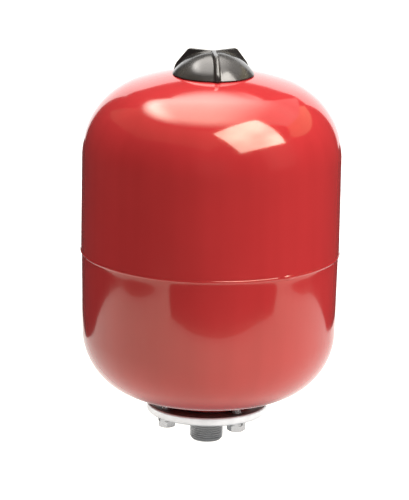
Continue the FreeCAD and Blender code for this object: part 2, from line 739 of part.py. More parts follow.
def poppet_seal(doc):
    """Rubber washer on the pin's plate that closes the barrel from below."""
    inner = D.pin_radius + D.press_gap
    turned(doc, "poppet_seal", box(inner, D.poppet_radius, PLATE_TOP, D.core_bottom))


def core_spring(doc):
    """Coil spring between the stem's ledge and the pin's plate."""
    body = new_body(doc, "core_spring")
    sketch = new_sketch(body, "wire", "XZ_Plane")
    start = D.stem_ledge + D.spring_wire + D.contact_gap
    edge = sketch.addGeometry(
        Part.Circle(V(D.spring_radius.value, start.value, 0), V(0, 0, 1), D.spring_wire.value)
    )
    bind(sketch, Sketcher.Constraint("Radius", edge, D.spring_wire.value), D.spring_wire)
    place(sketch, edge, 3, D.spring_radius, "DistanceX", -2)
    place(sketch, edge, 3, start, "DistanceY", -1)
    height = PLATE_BOTTOM - D.spring_wire - D.contact_gap - start
    coil = body.newObject("PartDesign::AdditiveHelix", "coil")
    coil.Profile = sketch
    coil.ReferenceAxis = (sketch, ["V_Axis"])
    coil.Mode = "height-turns-angle"
    coil.Height = height.value
    coil.Turns = D.spring_turns.value
    coil.setExpression("Height", height.text)
    coil.setExpression("Turns", D.spring_turns.text)
    doc.recompute()


def dust_cap(doc):
    """Screw cap on the valve stem."""
    turned(doc, "dust_cap", [
        Corner(D.cap_bore, D.cap_bottom),
        Corner(D.cap_radius, D.cap_bottom),
        Corner(D.cap_radius, D.cap_top),
        Corner(0, D.cap_top),
        Corner(0, D.cap_ceiling),
        Corner(D.cap_bore, D.cap_ceiling),
    ])


def dust_cap_seal(doc):
    """Rubber disc in the dust cap that closes the stem's mouth."""
    low = D.stem_top + D.contact_gap
    turned(doc, "dust_cap_seal", box(ZERO, D.cap_seal_radius, low, D.cap_ceiling - D.contact_gap))


def cover_seal(doc):
    """Rubber ring in the cover's socket that sits on the valve boss."""
    low = D.boss_top + D.contact_gap
    high = D.socket_ceiling - D.contact_gap
    turned(doc, "cover_seal", box(D.cover_seal_inner_radius, D.cover_seal_outer_radius, low, high))


def valve_cover(doc):
    """Domed screw cover with three grip fins and a threaded socket inside."""
    top = D.cover_base + D.dome_height
    body = turned(doc, "valve_cover", [
        Corner(0, D.cover_base),
        Corner(D.cover_radius, D.cover_base, Bend(0, DOME_CENTRE, DOME_RADIUS)),
        Corner(0, top),
    ])
    fin = new_sketch(body, "fin_outline", "XZ_Plane")
    draw(fin, [
        Corner(0, D.cover_base),
        Corner(D.fin_foot_radius, D.cover_base),
        Corner(D.fin_knee_radius, D.fin_knee_height),
        Corner(D.fin_shoulder_radius, D.fin_top),
        Corner(0, D.fin_top),
    ])
    fin_pad = pad(doc, body, fin, "fin", D.fin_thickness, middle=True)
    repeat(doc, body, [fin_pad], FINS, "fins_around")
    inner_radius = DOME_RADIUS - D.cover_wall
    inside = Bend(0, DOME_CENTRE, inner_radius)
    base_depth = D.cover_base - DOME_CENTRE
    rim = root(inner_radius * inner_radius - base_depth * base_depth)
    socket_outside = D.socket_radius + D.socket_wall
    in_socket = D.socket_radius - D.cut_excess
    grooved(doc, body, "socket_space", [
        Corner(0, D.cover_base),
        Corner(D.socket_radius, D.cover_base),
        Corner(D.socket_radius, D.socket_ceiling),
        Corner(D.socket_eye_radius, D.socket_ceiling),
        Corner(
            D.socket_eye_radius,
            on_sphere(DOME_CENTRE, inner_radius, D.socket_eye_radius, 1),
            inside,
        ),
        Corner(0, DOME_CENTRE + inner_radius),
    ])
    grooved(doc, body, "rim_space", [
        Corner(in_socket, D.cover_base),
        Corner(rim, D.cover_base, inside),
        Corner(socket_outside, on_sphere(DOME_CENTRE, inner_radius, socket_outside, 1)),
        Corner(socket_outside, D.socket_bottom),
        Corner(in_socket, D.socket_bottom),
    ])
    turn_about_axis(body, D.fin_angle)


SUBPARTS = (
    upper_shell,
    lower_shell,
    seam_weld,
    counter_flange,
    counter_flange_weld,
    membrane,
    connection_flange,
    pipe_nipple,
    nipple_weld,
    flange_bolts,
    lock_washers,
    valve_boss,
    boss_weld,
    valve_stem,
    valve_gasket,
    core_barrel,
    core_ring,
    core_pin,
    poppet_seal,
    core_spring,
    dust_cap,
    dust_cap_seal,
    cover_seal,
    valve_cover,
)


def check_document(doc):
    """Stop if any object of the document failed to compute."""
    for item in doc.Objects:
        if "Invalid" in item.State or "Error" in item.State:
            raise RuntimeError(f"{item.Name} failed: {item.State}")


def write_parts(doc):
    """Check each sub-part's shape, then write it to a STEP file of its own."""
    bodies = [item for item in doc.Objects if item.TypeId == "PartDesign::Body"]
    for body in bodies:
        shape = body.Shape
        if shape.isNull() or not shape.isValid() or not shape.Solids:
            raise RuntimeError(f"{body.Label} has no valid solid")
    os.makedirs("parts", exist_ok=True)
    for body in bodies:
        shape = body.Shape
        shape.exportStep(os.path.join("parts", body.Label + ".step"))
        print(f"{body.Label}: {len(shape.Solids)} solids, {shape.Volume:.1f} mm3")


def main():
    doc = FreeCAD.newDocument("expansion_vessel")
    write_sheet(doc)
    for make in SUBPARTS:
        make(doc)
    doc.recompute()
    check_document(doc)
    write_parts(doc)


main()
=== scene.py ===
import math

import bpy
import numpy as np
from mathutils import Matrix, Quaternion, Vector


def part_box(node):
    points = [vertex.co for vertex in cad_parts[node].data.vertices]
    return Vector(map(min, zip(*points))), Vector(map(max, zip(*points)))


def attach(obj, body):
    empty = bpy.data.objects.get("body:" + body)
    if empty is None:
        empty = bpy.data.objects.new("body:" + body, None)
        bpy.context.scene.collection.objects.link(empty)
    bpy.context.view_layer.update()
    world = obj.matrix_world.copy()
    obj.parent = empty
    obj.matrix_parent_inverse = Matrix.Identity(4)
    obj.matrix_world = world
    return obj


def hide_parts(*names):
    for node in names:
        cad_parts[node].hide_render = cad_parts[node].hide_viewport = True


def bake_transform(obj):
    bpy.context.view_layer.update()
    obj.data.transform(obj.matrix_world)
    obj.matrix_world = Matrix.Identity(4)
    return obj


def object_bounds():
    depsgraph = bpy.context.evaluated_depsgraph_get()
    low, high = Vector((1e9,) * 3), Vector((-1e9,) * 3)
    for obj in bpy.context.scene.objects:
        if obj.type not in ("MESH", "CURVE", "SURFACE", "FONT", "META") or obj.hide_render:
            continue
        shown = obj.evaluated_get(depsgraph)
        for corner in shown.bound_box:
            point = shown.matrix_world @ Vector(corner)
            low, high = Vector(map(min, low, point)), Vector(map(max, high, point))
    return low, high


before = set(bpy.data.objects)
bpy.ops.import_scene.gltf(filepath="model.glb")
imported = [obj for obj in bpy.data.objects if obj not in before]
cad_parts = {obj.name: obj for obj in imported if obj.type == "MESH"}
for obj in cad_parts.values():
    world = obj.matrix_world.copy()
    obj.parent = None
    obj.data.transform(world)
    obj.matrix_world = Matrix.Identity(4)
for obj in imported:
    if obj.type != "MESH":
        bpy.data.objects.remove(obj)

# Looks of the expansion vessel. Lengths inside the shape functions are in millimetres, as the part's
# own dimensions are; MM turns them into the metres of the scene. Angles around the vessel start at
# the front (-Y) and grow to the right, seen from the front.

CAD_LOW, CAD_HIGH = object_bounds()
MM = 0.001
TAU = 2 * math.pi


def node_box(name):
    """Lowest and highest corner of a CAD node in millimetres."""
    low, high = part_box(name)
    return np.array(low) / MM, np.array(high) / MM


UPPER_LOW, UPPER_HIGH = node_box("upper_shell")
LOWER_LOW, LOWER_HIGH = node_box("lower_shell")
SEAM_LOW, SEAM_HIGH = node_box("seam_weld")
FLANGE_LOW, FLANGE_HIGH = node_box("connection_flange")
NIPPLE_LOW, NIPPLE_HIGH = node_box("pipe_nipple")
BOLT_LOW, BOLT_HIGH = node_box("flange_bolts")
WASHER_LOW, WASHER_HIGH = node_box("lock_washers")
BOSS_LOW, BOSS_HIGH = node_box("valve_boss")
STEM_LOW, STEM_HIGH = node_box("valve_stem")
SPRING_LOW, SPRING_HIGH = node_box("core_spring")
CAP_LOW, CAP_HIGH = node_box("dust_cap")
COVER_LOW, COVER_HIGH = node_box("valve_cover")

# ------------ shader nodes


class Shader:
    """A node material under construction: short calls for the nodes that the finishes share."""

    def __init__(self, name):
        self.material = bpy.data.materials.new(name)
        self.material.use_nodes = True
        self.tree = self.material.node_tree
        self.surface = self.tree.nodes["Principled BSDF"]
        self.place = self.tree.nodes.new("ShaderNodeTexCoord").outputs["Object"]

    def link(self, source, target):
        self.tree.links.new(source, target)

    def feed(self, socket, value):
        """Links another node's output to the socket, or sets the socket to a constant."""
        if hasattr(value, "is_output"):
            self.link(value, socket)
        else:
            socket.default_value = value

    def set(self, **values):
        """Constants on the surface shader's own sockets, with _ for a space."""
        for key, value in values.items():
            self.surface.inputs[key.replace("_", " ")].default_value = value

    def node(self, kind, **inputs):
        made = self.tree.nodes.new(kind)
        for key, value in inputs.items():
            self.feed(made.inputs[key.replace("_", " ")], value)
        return made

    def stretched(self, x, y, z):
        """The place on the object, scaled along each axis."""
        made = self.node("ShaderNodeMapping", Vector=self.place)
        made.inputs["Scale"].default_value = (x, y, z)
        return made.outputs["Vector"]

    def noise(self, scale, detail=3.0, roughness=0.5, vector=None):
        place = vector or self.place
        made = self.node("ShaderNodeTexNoise", Vector=place, Scale=scale, Detail=detail, Roughness=roughness)
        return made.outputs["Fac"]

    def cells(self, scale):
        """Distance to the nearest of many scattered points."""
        return self.node("ShaderNodeTexVoronoi", Vector=self.place, Scale=scale).outputs["Distance"]

    def span(self, value, low, high, to_low, to_high, soft=False):
        """value mapped from one span of numbers to another, held at its ends."""
        made = self.node("ShaderNodeMapRange", Value=value)
        if soft:
            made.interpolation_type = "SMOOTHSTEP"
        limits = {"From Min": low, "From Max": high, "To Min": to_low, "To Max": to_high}
        for key, number in limits.items():
            made.inputs[key].default_value = number
        return made.outputs["Result"]

    def math(self, operation, a, b=0.0):
        made = self.tree.nodes.new("ShaderNodeMath")
        made.operation = operation
        for socket, value in zip(made.inputs, (a, b)):
            self.feed(socket, value)
        return made.outputs["Value"]

    def mix(self, factor, a, b):
        """Colour a where the factor is 0 and b where it is 1; each is a node's output or three numbers."""
        made = self.tree.nodes.new("ShaderNodeMix")
        made.data_type = "RGBA"
        self.feed(made.inputs["Factor"], factor)
        # Socket names repeat for each data type, so the colour sockets are picked by type.
        sockets = [socket for socket in made.inputs if socket.type == "RGBA"]
        for socket, value in zip(sockets, (a, b)):
            self.feed(socket, (*value, 1.0) if isinstance(value, tuple) else value)
        return next(output for output in made.outputs if output.type == "RGBA")

    def along(self, axis):
        """The point's own X, Y or Z, in metres."""
        return self.node("ShaderNodeSeparateXYZ", Vector=self.place).outputs[axis]

    def edges(self):
        """How sharply the surface bends outwards, 0.5 where it is flat."""
        return self.node("ShaderNodeNewGeometry").outputs["Pointiness"]

    def bump(self, height, strength, distance, normal=None):
        made = self.node("ShaderNodeBump", Height=height, Strength=strength, Distance=distance)
        if normal is not None:
            self.link(normal, made.inputs["Normal"])
        return made.outputs["Normal"]

    def finish(self, colour, roughness, normal, **constants):
        """The material, with these outputs and constants on its surface shader."""
        for label, value in (("Base Color", colour), ("Roughness", roughness), ("Normal", normal)):
            self.link(value, self.surface.inputs[label])
        self.set(**constants)
        return self.material

    def replace(self, shader):
        """The material, with shader in place of its surface shader."""
        self.tree.nodes.remove(self.surface)
        self.link(shader, self.tree.nodes["Material Output"].inputs["Surface"])
        return self.material


def red_paint(name):
    """Glossy red enamel: slight orange peel, faint drawing marks, dust in the coat, worn edges."""
    s = Shader(name)
    cloud = s.noise(9.0, 3.0)
    streak = s.noise(60.0, 2.0, 0.5, s.stretched(1.0, 1.0, 0.05))
    base = s.mix(s.span(cloud, 0.35, 0.65, 0.0, 1.0), (0.46, 0.0272, 0.0285), (0.50, 0.0305, 0.0315))
    base = s.mix(s.span(streak, 0.4, 0.7, 0.0, 0.35), base, (0.40, 0.022, 0.023))
    speck = s.cells(420.0)
    base = s.mix(s.span(speck, 0.05, 0.09, 0.5, 0.0), base, (0.30, 0.018, 0.017))
    chip = s.math("GREATER_THAN", s.math("MULTIPLY", s.edges(), s.noise(300.0, 2.0)), 0.48)
    base = s.mix(s.math("MULTIPLY", chip, 0.6), base, (0.22, 0.03, 0.03))
    smear = s.noise(14.0, 4.0, 0.6)
    rough = s.math("ADD", s.span(smear, 0.3, 0.7, 0.07, 0.12), s.math("MULTIPLY", streak, 0.03))
    peel = s.bump(s.noise(420.0, 2.0), 0.10, 0.00008)
    ripple = s.bump(s.noise(55.0, 2.0, 0.5, s.stretched(1.0, 1.0, 0.3)), 0.10, 0.0004, peel)
    s.set(IOR=1.5, Specular_Tint=(1.0, 1.0, 0.75, 1.0))
    return s.finish(base, rough, ripple, Coat_Weight=0.35, Coat_Roughness=0.03, Coat_IOR=1.5)


def zinc_plate(name, base=(0.895, 0.93, 0.955), dull=0.36, metallic=0.6, painted_shade_above=None):
    """Bright zinc plating: fine grain, soft clouding, a few stains, painted shade in the hollows.
    Above the height given last, in metres, a dark painted shade stands for the shadow in the gap under the
    shell."""
    s = Shader(name)
    cloud = s.noise(70.0, 4.0, 0.6)
    grain = s.cells(900.0)
    darker = tuple(0.92 * c for c in base)
    colour = s.mix(s.span(cloud, 0.35, 0.7, 0.0, 1.0), base, darker)
    # Painted shade: grey in the hollows, where the surface bends inwards.
    colour = s.mix(s.span(s.edges(), 0.42, 0.5, 0.45, 0.0), colour, (0.25, 0.25, 0.26))
    stain = s.noise(28.0, 5.0, 0.7)
    colour = s.mix(s.span(stain, 0.62, 0.75, 0.0, 0.2), colour, (0.60, 0.58, 0.55))
    if painted_shade_above:
        # Painted shade: the flange's top face in the gap under the shell is darkened for the shadow there.
        colour = s.mix(s.span(s.along("Z"), painted_shade_above - 0.0004, painted_shade_above, 0.0, 0.92), colour, (0.10, 0.07, 0.065))
    soft = s.span(cloud, 0.3, 0.7, dull - 0.06, dull + 0.08)
    rough = s.math("ADD", soft, s.math("MULTIPLY", grain, 0.05))
    fine = s.bump(s.noise(2600.0, 2.0), 0.12, 0.00004)
    return s.finish(colour, rough, s.bump(grain, 0.08, 0.00006, fine), Metallic=metallic)


def nipple_steel(name):
    """Turned steel, plated thin and grey: tool marks around, painted shade in the thread's roots, a painted
    highlight on its crests.
    """
    s = Shader(name)
    rings = s.noise(40.0, 3.0, 0.6, s.stretched(2.0, 2.0, 120.0))
    cloud = s.noise(120.0, 4.0, 0.6)
    colour = s.mix(s.span(cloud, 0.3, 0.7, 0.0, 1.0), (0.72, 0.725, 0.735), (0.60, 0.605, 0.615))
    # Painted shade: dark in the thread's roots, where the surface bends inwards.
    colour = s.mix(s.span(s.edges(), 0.40, 0.5, 0.7, 0.0), colour, (0.16, 0.155, 0.15))
    # Painted highlight: pale on the thread's crests, where the surface bends outwards.
    colour = s.mix(s.span(s.edges(), 0.52, 0.60, 0.0, 0.35), colour, (0.78, 0.77, 0.76))
    fine = s.bump(s.noise(1500.0, 2.0), 0.1, 0.00004)
    turned = s.bump(rings, 0.15, 0.00006, fine)
    return s.finish(colour, s.span(cloud, 0.3, 0.7, 0.34, 0.48), turned, Metallic=1.0)


def bare_steel(name):
    """Unpainted steel inside the vessel: mill grey with a bloom of oxide."""
    s = Shader(name)
    cloud = s.noise(45.0, 5.0, 0.65)
    colour = s.mix(s.span(cloud, 0.4, 0.7, 0.0, 1.0), (0.42, 0.41, 0.40), (0.28, 0.24, 0.21))
    fine = s.bump(s.noise(700.0, 3.0), 0.2, 0.0001)
    return s.finish(colour, s.span(cloud, 0.3, 0.7, 0.38, 0.62), fine, Metallic=1.0)


def rubber(name, base=(0.022, 0.022, 0.023)):
    """Moulded rubber: matt, slightly bloomed, with a fine mould texture."""
    s = Shader(name)
    cloud = s.noise(35.0, 4.0, 0.6)
    pale = tuple(c + 0.03 for c in base)
    colour = s.mix(s.span(cloud, 0.45, 0.75, 0.0, 0.7), base, pale)
    fine = s.bump(s.noise(1400.0, 3.0), 0.25, 0.00008)
    return s.finish(colour, s.span(cloud, 0.3, 0.7, 0.62, 0.82), fine)


def brass(name):
    """Turned brass, a little tarnished away from the edges."""
    s = Shader(name)
    cloud = s.noise(180.0, 4.0, 0.6)
    colour = s.mix(s.span(cloud, 0.4, 0.7, 0.0, 1.0), (0.80, 0.58, 0.27), (0.55, 0.38, 0.18))
    colour = s.mix(s.span(s.edges(), 0.52, 0.60, 0.0, 0.7), colour, (0.93, 0.74, 0.40))
    rings = s.noise(60.0, 2.0, 0.5, s.stretched(1.0, 1.0, 160.0))
    turned = s.bump(rings, 0.15, 0.00004)
    return s.finish(colour, s.span(cloud, 0.3, 0.7, 0.22, 0.38), turned, Metallic=1.0)


def spring_steel(name):
    """Drawn stainless wire: bright, with fine lines along it."""
    s = Shader(name)
    cloud = s.noise(600.0, 3.0)
    colour = s.mix(s.span(cloud, 0.4, 0.7, 0.0, 1.0), (0.68, 0.67, 0.65), (0.50, 0.49, 0.48))
    fine = s.bump(s.noise(2500.0, 2.0), 0.15, 0.00003)
    return s.finish(colour, s.span(cloud, 0.3, 0.7, 0.2, 0.34), fine, Metallic=1.0)


def moulded_plastic(name, base, gloss, coat=0.0):
    """Injection-moulded plastic: near-black, fine texture, scuffs on the edges, and a clear shine on top
    as strong as coat. gloss is its roughness."""
    s = Shader(name)
    cloud = s.noise(60.0, 4.0, 0.6)
    scuff = s.noise(240.0, 4.0, 0.7, s.stretched(1.0, 3.0, 1.0))
    pale = tuple(1.5 * c + 0.004 for c in base)
    colour = s.mix(s.span(cloud, 0.4, 0.7, 0.0, 0.6), base, pale)
    worn = s.math("MULTIPLY", s.span(s.edges(), 0.53, 0.60, 0.0, 1.0), s.span(scuff, 0.45, 0.7, 0.0, 1.0))
    colour = s.mix(s.math("MULTIPLY", worn, 0.5), colour, (0.16, 0.16, 0.16))
    soft = s.span(cloud, 0.3, 0.7, gloss - 0.04, gloss + 0.05)
    rough = s.math("ADD", soft, s.math("MULTIPLY", worn, 0.2))
    fine = s.bump(s.noise(1900.0, 2.0), 0.18, 0.00005)
    uneven = s.bump(s.noise(45.0, 2.0), 0.12, 0.0004, fine)
    return s.finish(colour, rough, uneven, IOR=1.5, Coat_Weight=coat, Coat_Roughness=0.05)


FINISHES = {
    "red_paint": red_paint("red_paint"),
    "zinc_plate": zinc_plate("zinc_plate", painted_shade_above=(FLANGE_HIGH[2] - 0.2) * MM),
    "nipple_steel": nipple_steel("nipple_steel"),
    "bolt_zinc": zinc_plate("bolt_zinc", (0.545, 0.56, 0.58), 0.2, 0.9),
    "bare_steel": bare_steel("bare_steel"),
    "membrane_rubber": rubber("membrane_rubber"),
    "seal_rubber": rubber("seal_rubber", (0.016, 0.016, 0.017)),
    "valve_brass": brass("valve_brass"),
    "spring_steel": spring_steel("spring_steel"),
    "cap_plastic": moulded_plastic("cap_plastic", (0.02, 0.02, 0.021), 0.38),
    "cover_plastic": moulded_plastic("cover_plastic", (0.027, 0.025, 0.023), 0.24, 0.34),
}

# The CAD nodes that are shown as they are, by their finish.
CARRIED = {
    "bare_steel": ("counter_flange", "counter_flange_weld", "nipple_weld", "boss_weld"),
    "membrane_rubber": ("membrane",),
    "seal_rubber": ("valve_gasket", "core_ring", "poppet_seal", "dust_cap_seal", "cover_seal"),
    "valve_brass": ("core_barrel", "core_pin"),
}

# ------------ mesh makers


def add(name, data):
    """A new object in the scene from a mesh, a lamp or a camera."""
    made = bpy.data.objects.new(name, data)
    bpy.context.scene.collection.objects.link(made)
    return made


def add_mesh(name, points, faces, material=None):
    """A new mesh object in the scene from points in metres."""
    mesh = bpy.data.meshes.new(name)
    mesh.from_pydata([tuple(p) for p in points], [], faces)
    if material:
        mesh.materials.append(material)
    return add(name, mesh)


def smooth(mesh, sharp):
    """Shades a mesh smooth, and keeps edges sharp that bend by more than sharp degrees."""
    mesh.shade_smooth()
    if sharp is not None:
        mesh.set_sharp_from_angle(angle=math.radians(sharp))


def new_piece(name, points, faces, finish, body, nodes, sharp=None):
    """A mesh from points in millimetres, standing for CAD nodes. It rides on body, if one is given."""
    piece = add_mesh(name, np.asarray(points, float) * MM, faces, FINISHES[finish])
    piece.data.validate()
    piece.data.update()
    smooth(piece.data, sharp)
    if body:
        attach(piece, body)
    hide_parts(*nodes)
    return piece


def around(radius, angle, height):
    """A point in millimetres from its distance to the axis, angle from the front and height."""
    return (radius * np.sin(angle), -radius * np.cos(angle), height)


def ring(radius, angles, height):
    """Points around the axis, one at each angle. radius and height are numbers or change with it."""
    each = np.ones(len(angles))
    return np.stack(around(radius * each, angles, height * each), 1)


def ring_from_x(radius, angles, height):
    """Points around the origin's vertical, angles counted from +X as the CAD does."""
    return np.stack([radius * np.cos(angles), radius * np.sin(angles), height * np.ones(len(angles))], 1)


def turn_angles(columns):
    """Even angles for a whole turn."""
    return np.arange(columns) * TAU / columns


def arc(centre, radius, start, end, steps):
    """Points on an arc in a plane, such as (radius, height), angles in degrees, ends included."""
    return [
        (centre[0] + radius * math.cos(math.radians(a)), centre[1] + radius * math.sin(math.radians(a)))
        for a in np.linspace(start, end, steps + 1)
    ]


def line(start, end, steps, crowd=1.0):
    """Points on a straight line, without its ends. crowd above 1 brings them closer at the start."""
    return [
        (start[0] + (end[0] - start[0]) * t, start[1] + (end[1] - start[1]) * t)
        for t in np.linspace(0, 1, steps + 1)[1:-1] ** crowd
    ]


def rounded(outline, radii, steps=3):
    """A closed outline in the (radius, height) plane with its corners rounded."""
    made = []
    count = len(outline)
    for i, corner in enumerate(outline):
        radius = radii[i] if isinstance(radii, (list, tuple)) else radii
        here = np.array(corner, float)
        back = np.array(outline[i - 1], float) - here
        ahead = np.array(outline[(i + 1) % count], float) - here
        back_length, ahead_length = np.linalg.norm(back), np.linalg.norm(ahead)
        back, ahead = back / back_length, ahead / ahead_length
        half = math.acos(max(-1.0, min(1.0, float(back @ ahead)))) / 2
        reach = radius / math.tan(half) if radius and half < 1.55 else 0.0
        reach = min(reach, 0.45 * back_length, 0.45 * ahead_length)
        if reach < 1e-6:
            made.append(tuple(here))
            continue
        start, end = here + back * reach, here + ahead * reach
        for t in np.linspace(0, 1, steps + 1):
            made.append(tuple((1 - t) ** 2 * start + 2 * t * (1 - t) * here + t * t * end))
    return made


def ring_faces(rows, columns, closed_rows=True):
    """Quads of a grid whose columns close around the axis; rows close too on a closed outline."""
    faces = []
    last = rows if closed_rows else rows - 1
    for i in range(last):
        a, b = i * columns, ((i + 1) % rows) * columns
        for j in range(columns):
            k = (j + 1) % columns
            faces.append((a + j, a + k, b + k, b + j))
    return faces


def lathe(outline, columns, shift=None):
    """Points and faces of a closed outline turned around the axis. shift changes each ring's radii."""
    angles = turn_angles(columns)
    points = []
    for radius, height in outline:
        if shift:
            radius = shift(radius * np.ones(columns), angles, height)
        points.append(ring(radius, angles, height))
    return np.concatenate(points), ring_faces(len(outline), columns)


def join(*parts):
    """Several (points, faces) as one."""
    points, faces, start = [], [], 0
    for some_points, some_faces in parts:
        points.append(np.asarray(some_points, float))
        faces += [tuple(start + i for i in face) for face in some_faces]
        start += len(some_points)
    return np.concatenate(points), faces


def thread_depth(turns):
    """Depth of a thread at a fraction of its pitch: 0 on the crest, 1 in the root."""
    part = np.mod(turns, 1.0)
    ramp = np.abs(part - 0.5) * 2
    return np.clip(1.18 - 1.36 * ramp, 0.0, 1.0)


def threaded(low, high, crest, depth, pitch, columns, steps_per_turn, ends):
    """Rings of a threaded rod's wall from low to high. ends gives (lower, upper) chamfer lengths."""
    rows = max(6, int((high - low) / pitch * steps_per_turn))
    angles = turn_angles(columns)
    points = []
    for height in np.linspace(low, high, rows):
        radius = crest - depth * thread_depth(height / pitch + angles / TAU)
        if ends[0]:
            radius = np.minimum(radius, crest - max(0.0, ends[0] - (height - low)) * 0.9)
        if ends[1]:
            radius = np.minimum(radius, crest - max(0.0, ends[1] - (high - height)) * 0.9)
        points.append(ring(radius, angles, height))
    return np.concatenate(points)


def tube(walls, outline, columns):
    """Walls made of rings, and the outline that closes them from the last ring to the first."""
    angles = turn_angles(columns)
    points = np.concatenate(walls + [ring(radius, angles, height) for radius, height in outline])
    return points, ring_faces(len(points) // columns, columns)


def capped(wall, columns, low, high):
    """A wall made of rings, closed at its ends with a middle point at height low and one at high."""
    rows = len(wall) // columns
    faces = ring_faces(rows, columns, False)
    last, middle = (rows - 1) * columns, rows * columns
    faces += [((j + 1) % columns, j, middle) for j in range(columns)]
    faces += [(last + j, last + (j + 1) % columns, middle + 1) for j in range(columns)]
    return np.concatenate([wall, [(0, 0, low), (0, 0, high)]]), faces


def moved(points, x, y, turn):
    """Points turned about the vertical through the origin, then moved."""
    c, s = math.cos(turn), math.sin(turn)
    p = np.asarray(points, float)
    return np.stack([p[:, 0] * c - p[:, 1] * s + x, p[:, 0] * s + p[:, 1] * c + y, p[:, 2]], 1)


# ------------ the two shells

# The outlines of both shells are those of the CAD. CROWN is the radius of the domed ends, a KNUCKLE
# the radius of the bend from the dome to the side, a DISH the height of a dome's centre. The lower
# shell's edge, centre, dish and seat edge follow from its slope of 0.02, its knuckle and its seat.
SHELL_COLUMNS = 256
WALL = 1.0
CROWN = 195.0
UPPER_RADIUS = UPPER_HIGH[0]
UPPER_KNUCKLE = 60.0
UPPER_TOP_HEIGHT = 209.5
UPPER_DISH = UPPER_TOP_HEIGHT - math.sqrt((CROWN - UPPER_KNUCKLE) ** 2 - (UPPER_RADIUS - UPPER_KNUCKLE) ** 2)
UPPER_CHAMFER = 0.12
HOLE = 12.0
LOWER_KNUCKLE = 52.6
LOWER_EDGE = (100.606, 66.7)
LOWER_CENTRE = (48.017, 67.752)
LOWER_DISH = 201.81
SEAT = 12.3
SEAT_EDGE = 45.94
NECK = 34.0
NECK_BOTTOM = LOWER_LOW[2]
SHOULDER = (101.9, 131.4)
SHOULDER_LOW = SHOULDER[1] - 0.5
LIP = 101.4


def upper_outline():
    """Closed outline of the upper shell, outside first, from the rim up."""
    rim = UPPER_LOW[2]
    centre = (UPPER_RADIUS - UPPER_KNUCKLE, UPPER_TOP_HEIGHT)
    join_angle = math.degrees(math.atan2(centre[1] - UPPER_DISH, centre[0]))
    hole_angle = math.degrees(math.acos(HOLE / CROWN))
    inner_hole = math.degrees(math.acos(HOLE / (CROWN - WALL)))
    edge = (UPPER_RADIUS, rim + UPPER_CHAMFER)
    outside = [(UPPER_RADIUS - UPPER_CHAMFER, rim), edge]
    outside += line(edge, (UPPER_RADIUS, UPPER_TOP_HEIGHT), 26, 1.5)
    outside += arc(centre, UPPER_KNUCKLE, 0, join_angle, 40)
    outside += arc((0, UPPER_DISH), CROWN, join_angle, hole_angle, 24)[1:]
    inside = arc((0, UPPER_DISH), CROWN - WALL, inner_hole, join_angle, 12)
    inside += arc(centre, UPPER_KNUCKLE - WALL, join_angle, 0, 20)[1:]
    inside += line((UPPER_RADIUS - WALL, UPPER_TOP_HEIGHT), (UPPER_RADIUS - WALL, rim), 6)
    inside += [(UPPER_RADIUS - WALL, rim)]
    return outside + inside


def lower_outline():
    """Closed outline of the lower shell, outside first, from the lip down to the neck and back."""
    join_angle = math.degrees(math.atan2(LOWER_CENTRE[1] - LOWER_DISH, LOWER_CENTRE[0]))
    slope = math.degrees(math.atan2(LOWER_EDGE[1] - LOWER_CENTRE[1], LOWER_EDGE[0] - LOWER_CENTRE[0]))
    seat_angle = -math.degrees(math.acos(SEAT_EDGE / CROWN))
    lip_top = LOWER_HIGH[2]
    outside = [(LIP, lip_top), (LIP, SHOULDER[1] + 1.0)]
    outside += [(LIP + 0.1, SHOULDER[1] + 0.55), (SHOULDER[0] - 0.12, SHOULDER[1] + 0.1)]
    outside += [(SHOULDER[0], SHOULDER_LOW)]
    outside += line((SHOULDER[0], SHOULDER_LOW), LOWER_EDGE, 34, 2.0)
    outside += arc(LOWER_CENTRE, LOWER_KNUCKLE, slope, join_angle, 40)
    outside += arc((0, LOWER_DISH), CROWN, join_angle, seat_angle, 16)[1:-1]
    seat = rounded(
        [
            (SEAT_EDGE + 8.0, LOWER_DISH - math.sqrt(CROWN**2 - (SEAT_EDGE + 8.0) ** 2)),
            (SEAT_EDGE, SEAT),
            (NECK, SEAT),
            (NECK, NECK_BOTTOM),
            (NECK - WALL, NECK_BOTTOM),
            (NECK - WALL, SEAT + WALL),
            (SEAT_EDGE - 0.3, SEAT + WALL),
        ],
        [0, 2.5, 0.8, 0.2, 0.2, 0.8, 0],
    )
    outside += seat[1:]
    inner_seat = -math.degrees(math.acos((SEAT_EDGE + 2.0) / (CROWN - WALL)))
    inside = arc((0, LOWER_DISH), CROWN - WALL, inner_seat, join_angle, 8)
    inside += arc(LOWER_CENTRE, LOWER_KNUCKLE - WALL, join_angle, slope, 20)[1:]
    inside += [(SHOULDER[0] - WALL, SHOULDER[1]), (LIP - WALL, SHOULDER[1] + 1.0), (LIP - WALL, lip_top)]
    return outside + inside


def drawn_waves(out, angles, up):
    """A deep-drawn side: slightly wavy near the seam, flared at the lower shell's shoulder, and set in
    by a little so that the waves stay within the plain outline."""
    side_from, set_in, wave_reach, flare_out, flare_reach = 60.0, 0.05, 14.0, 0.15, 2.2
    near = np.exp(-np.abs(up - SEAM_HIGH[2]) / wave_reach)
    wave = 0.014 * np.sin(5 * angles + 0.6) + 0.008 * np.sin(11 * angles + 2.0) + 0.004 * np.sin(17 * angles)
    below = SHOULDER_LOW - up
    flare = flare_out * np.exp(-np.maximum(below, 0.0) / flare_reach) * (below > -0.1)
    return out + (near * wave + flare - set_in) * (out > side_from)


def make_shells():
    """Both painted shells, the lower one with holes for the bolts in its seat."""
    points, faces = lathe(upper_outline(), SHELL_COLUMNS, drawn_waves)
    new_piece("upper_shell_drawn", points, faces, "red_paint", "tank", ["upper_shell"], 40)
    points, faces = lathe(lower_outline(), SHELL_COLUMNS, drawn_waves)
    piece = new_piece("lower_shell_drawn", points, faces, "red_paint", "tank", ["lower_shell"], 40)
    drill_for_bolts(piece, SEAT - 2, SEAT + WALL + 2)


# Where the weld run starts and stops, seen from the front to the right.
WELD_STOP = math.radians(37.0)


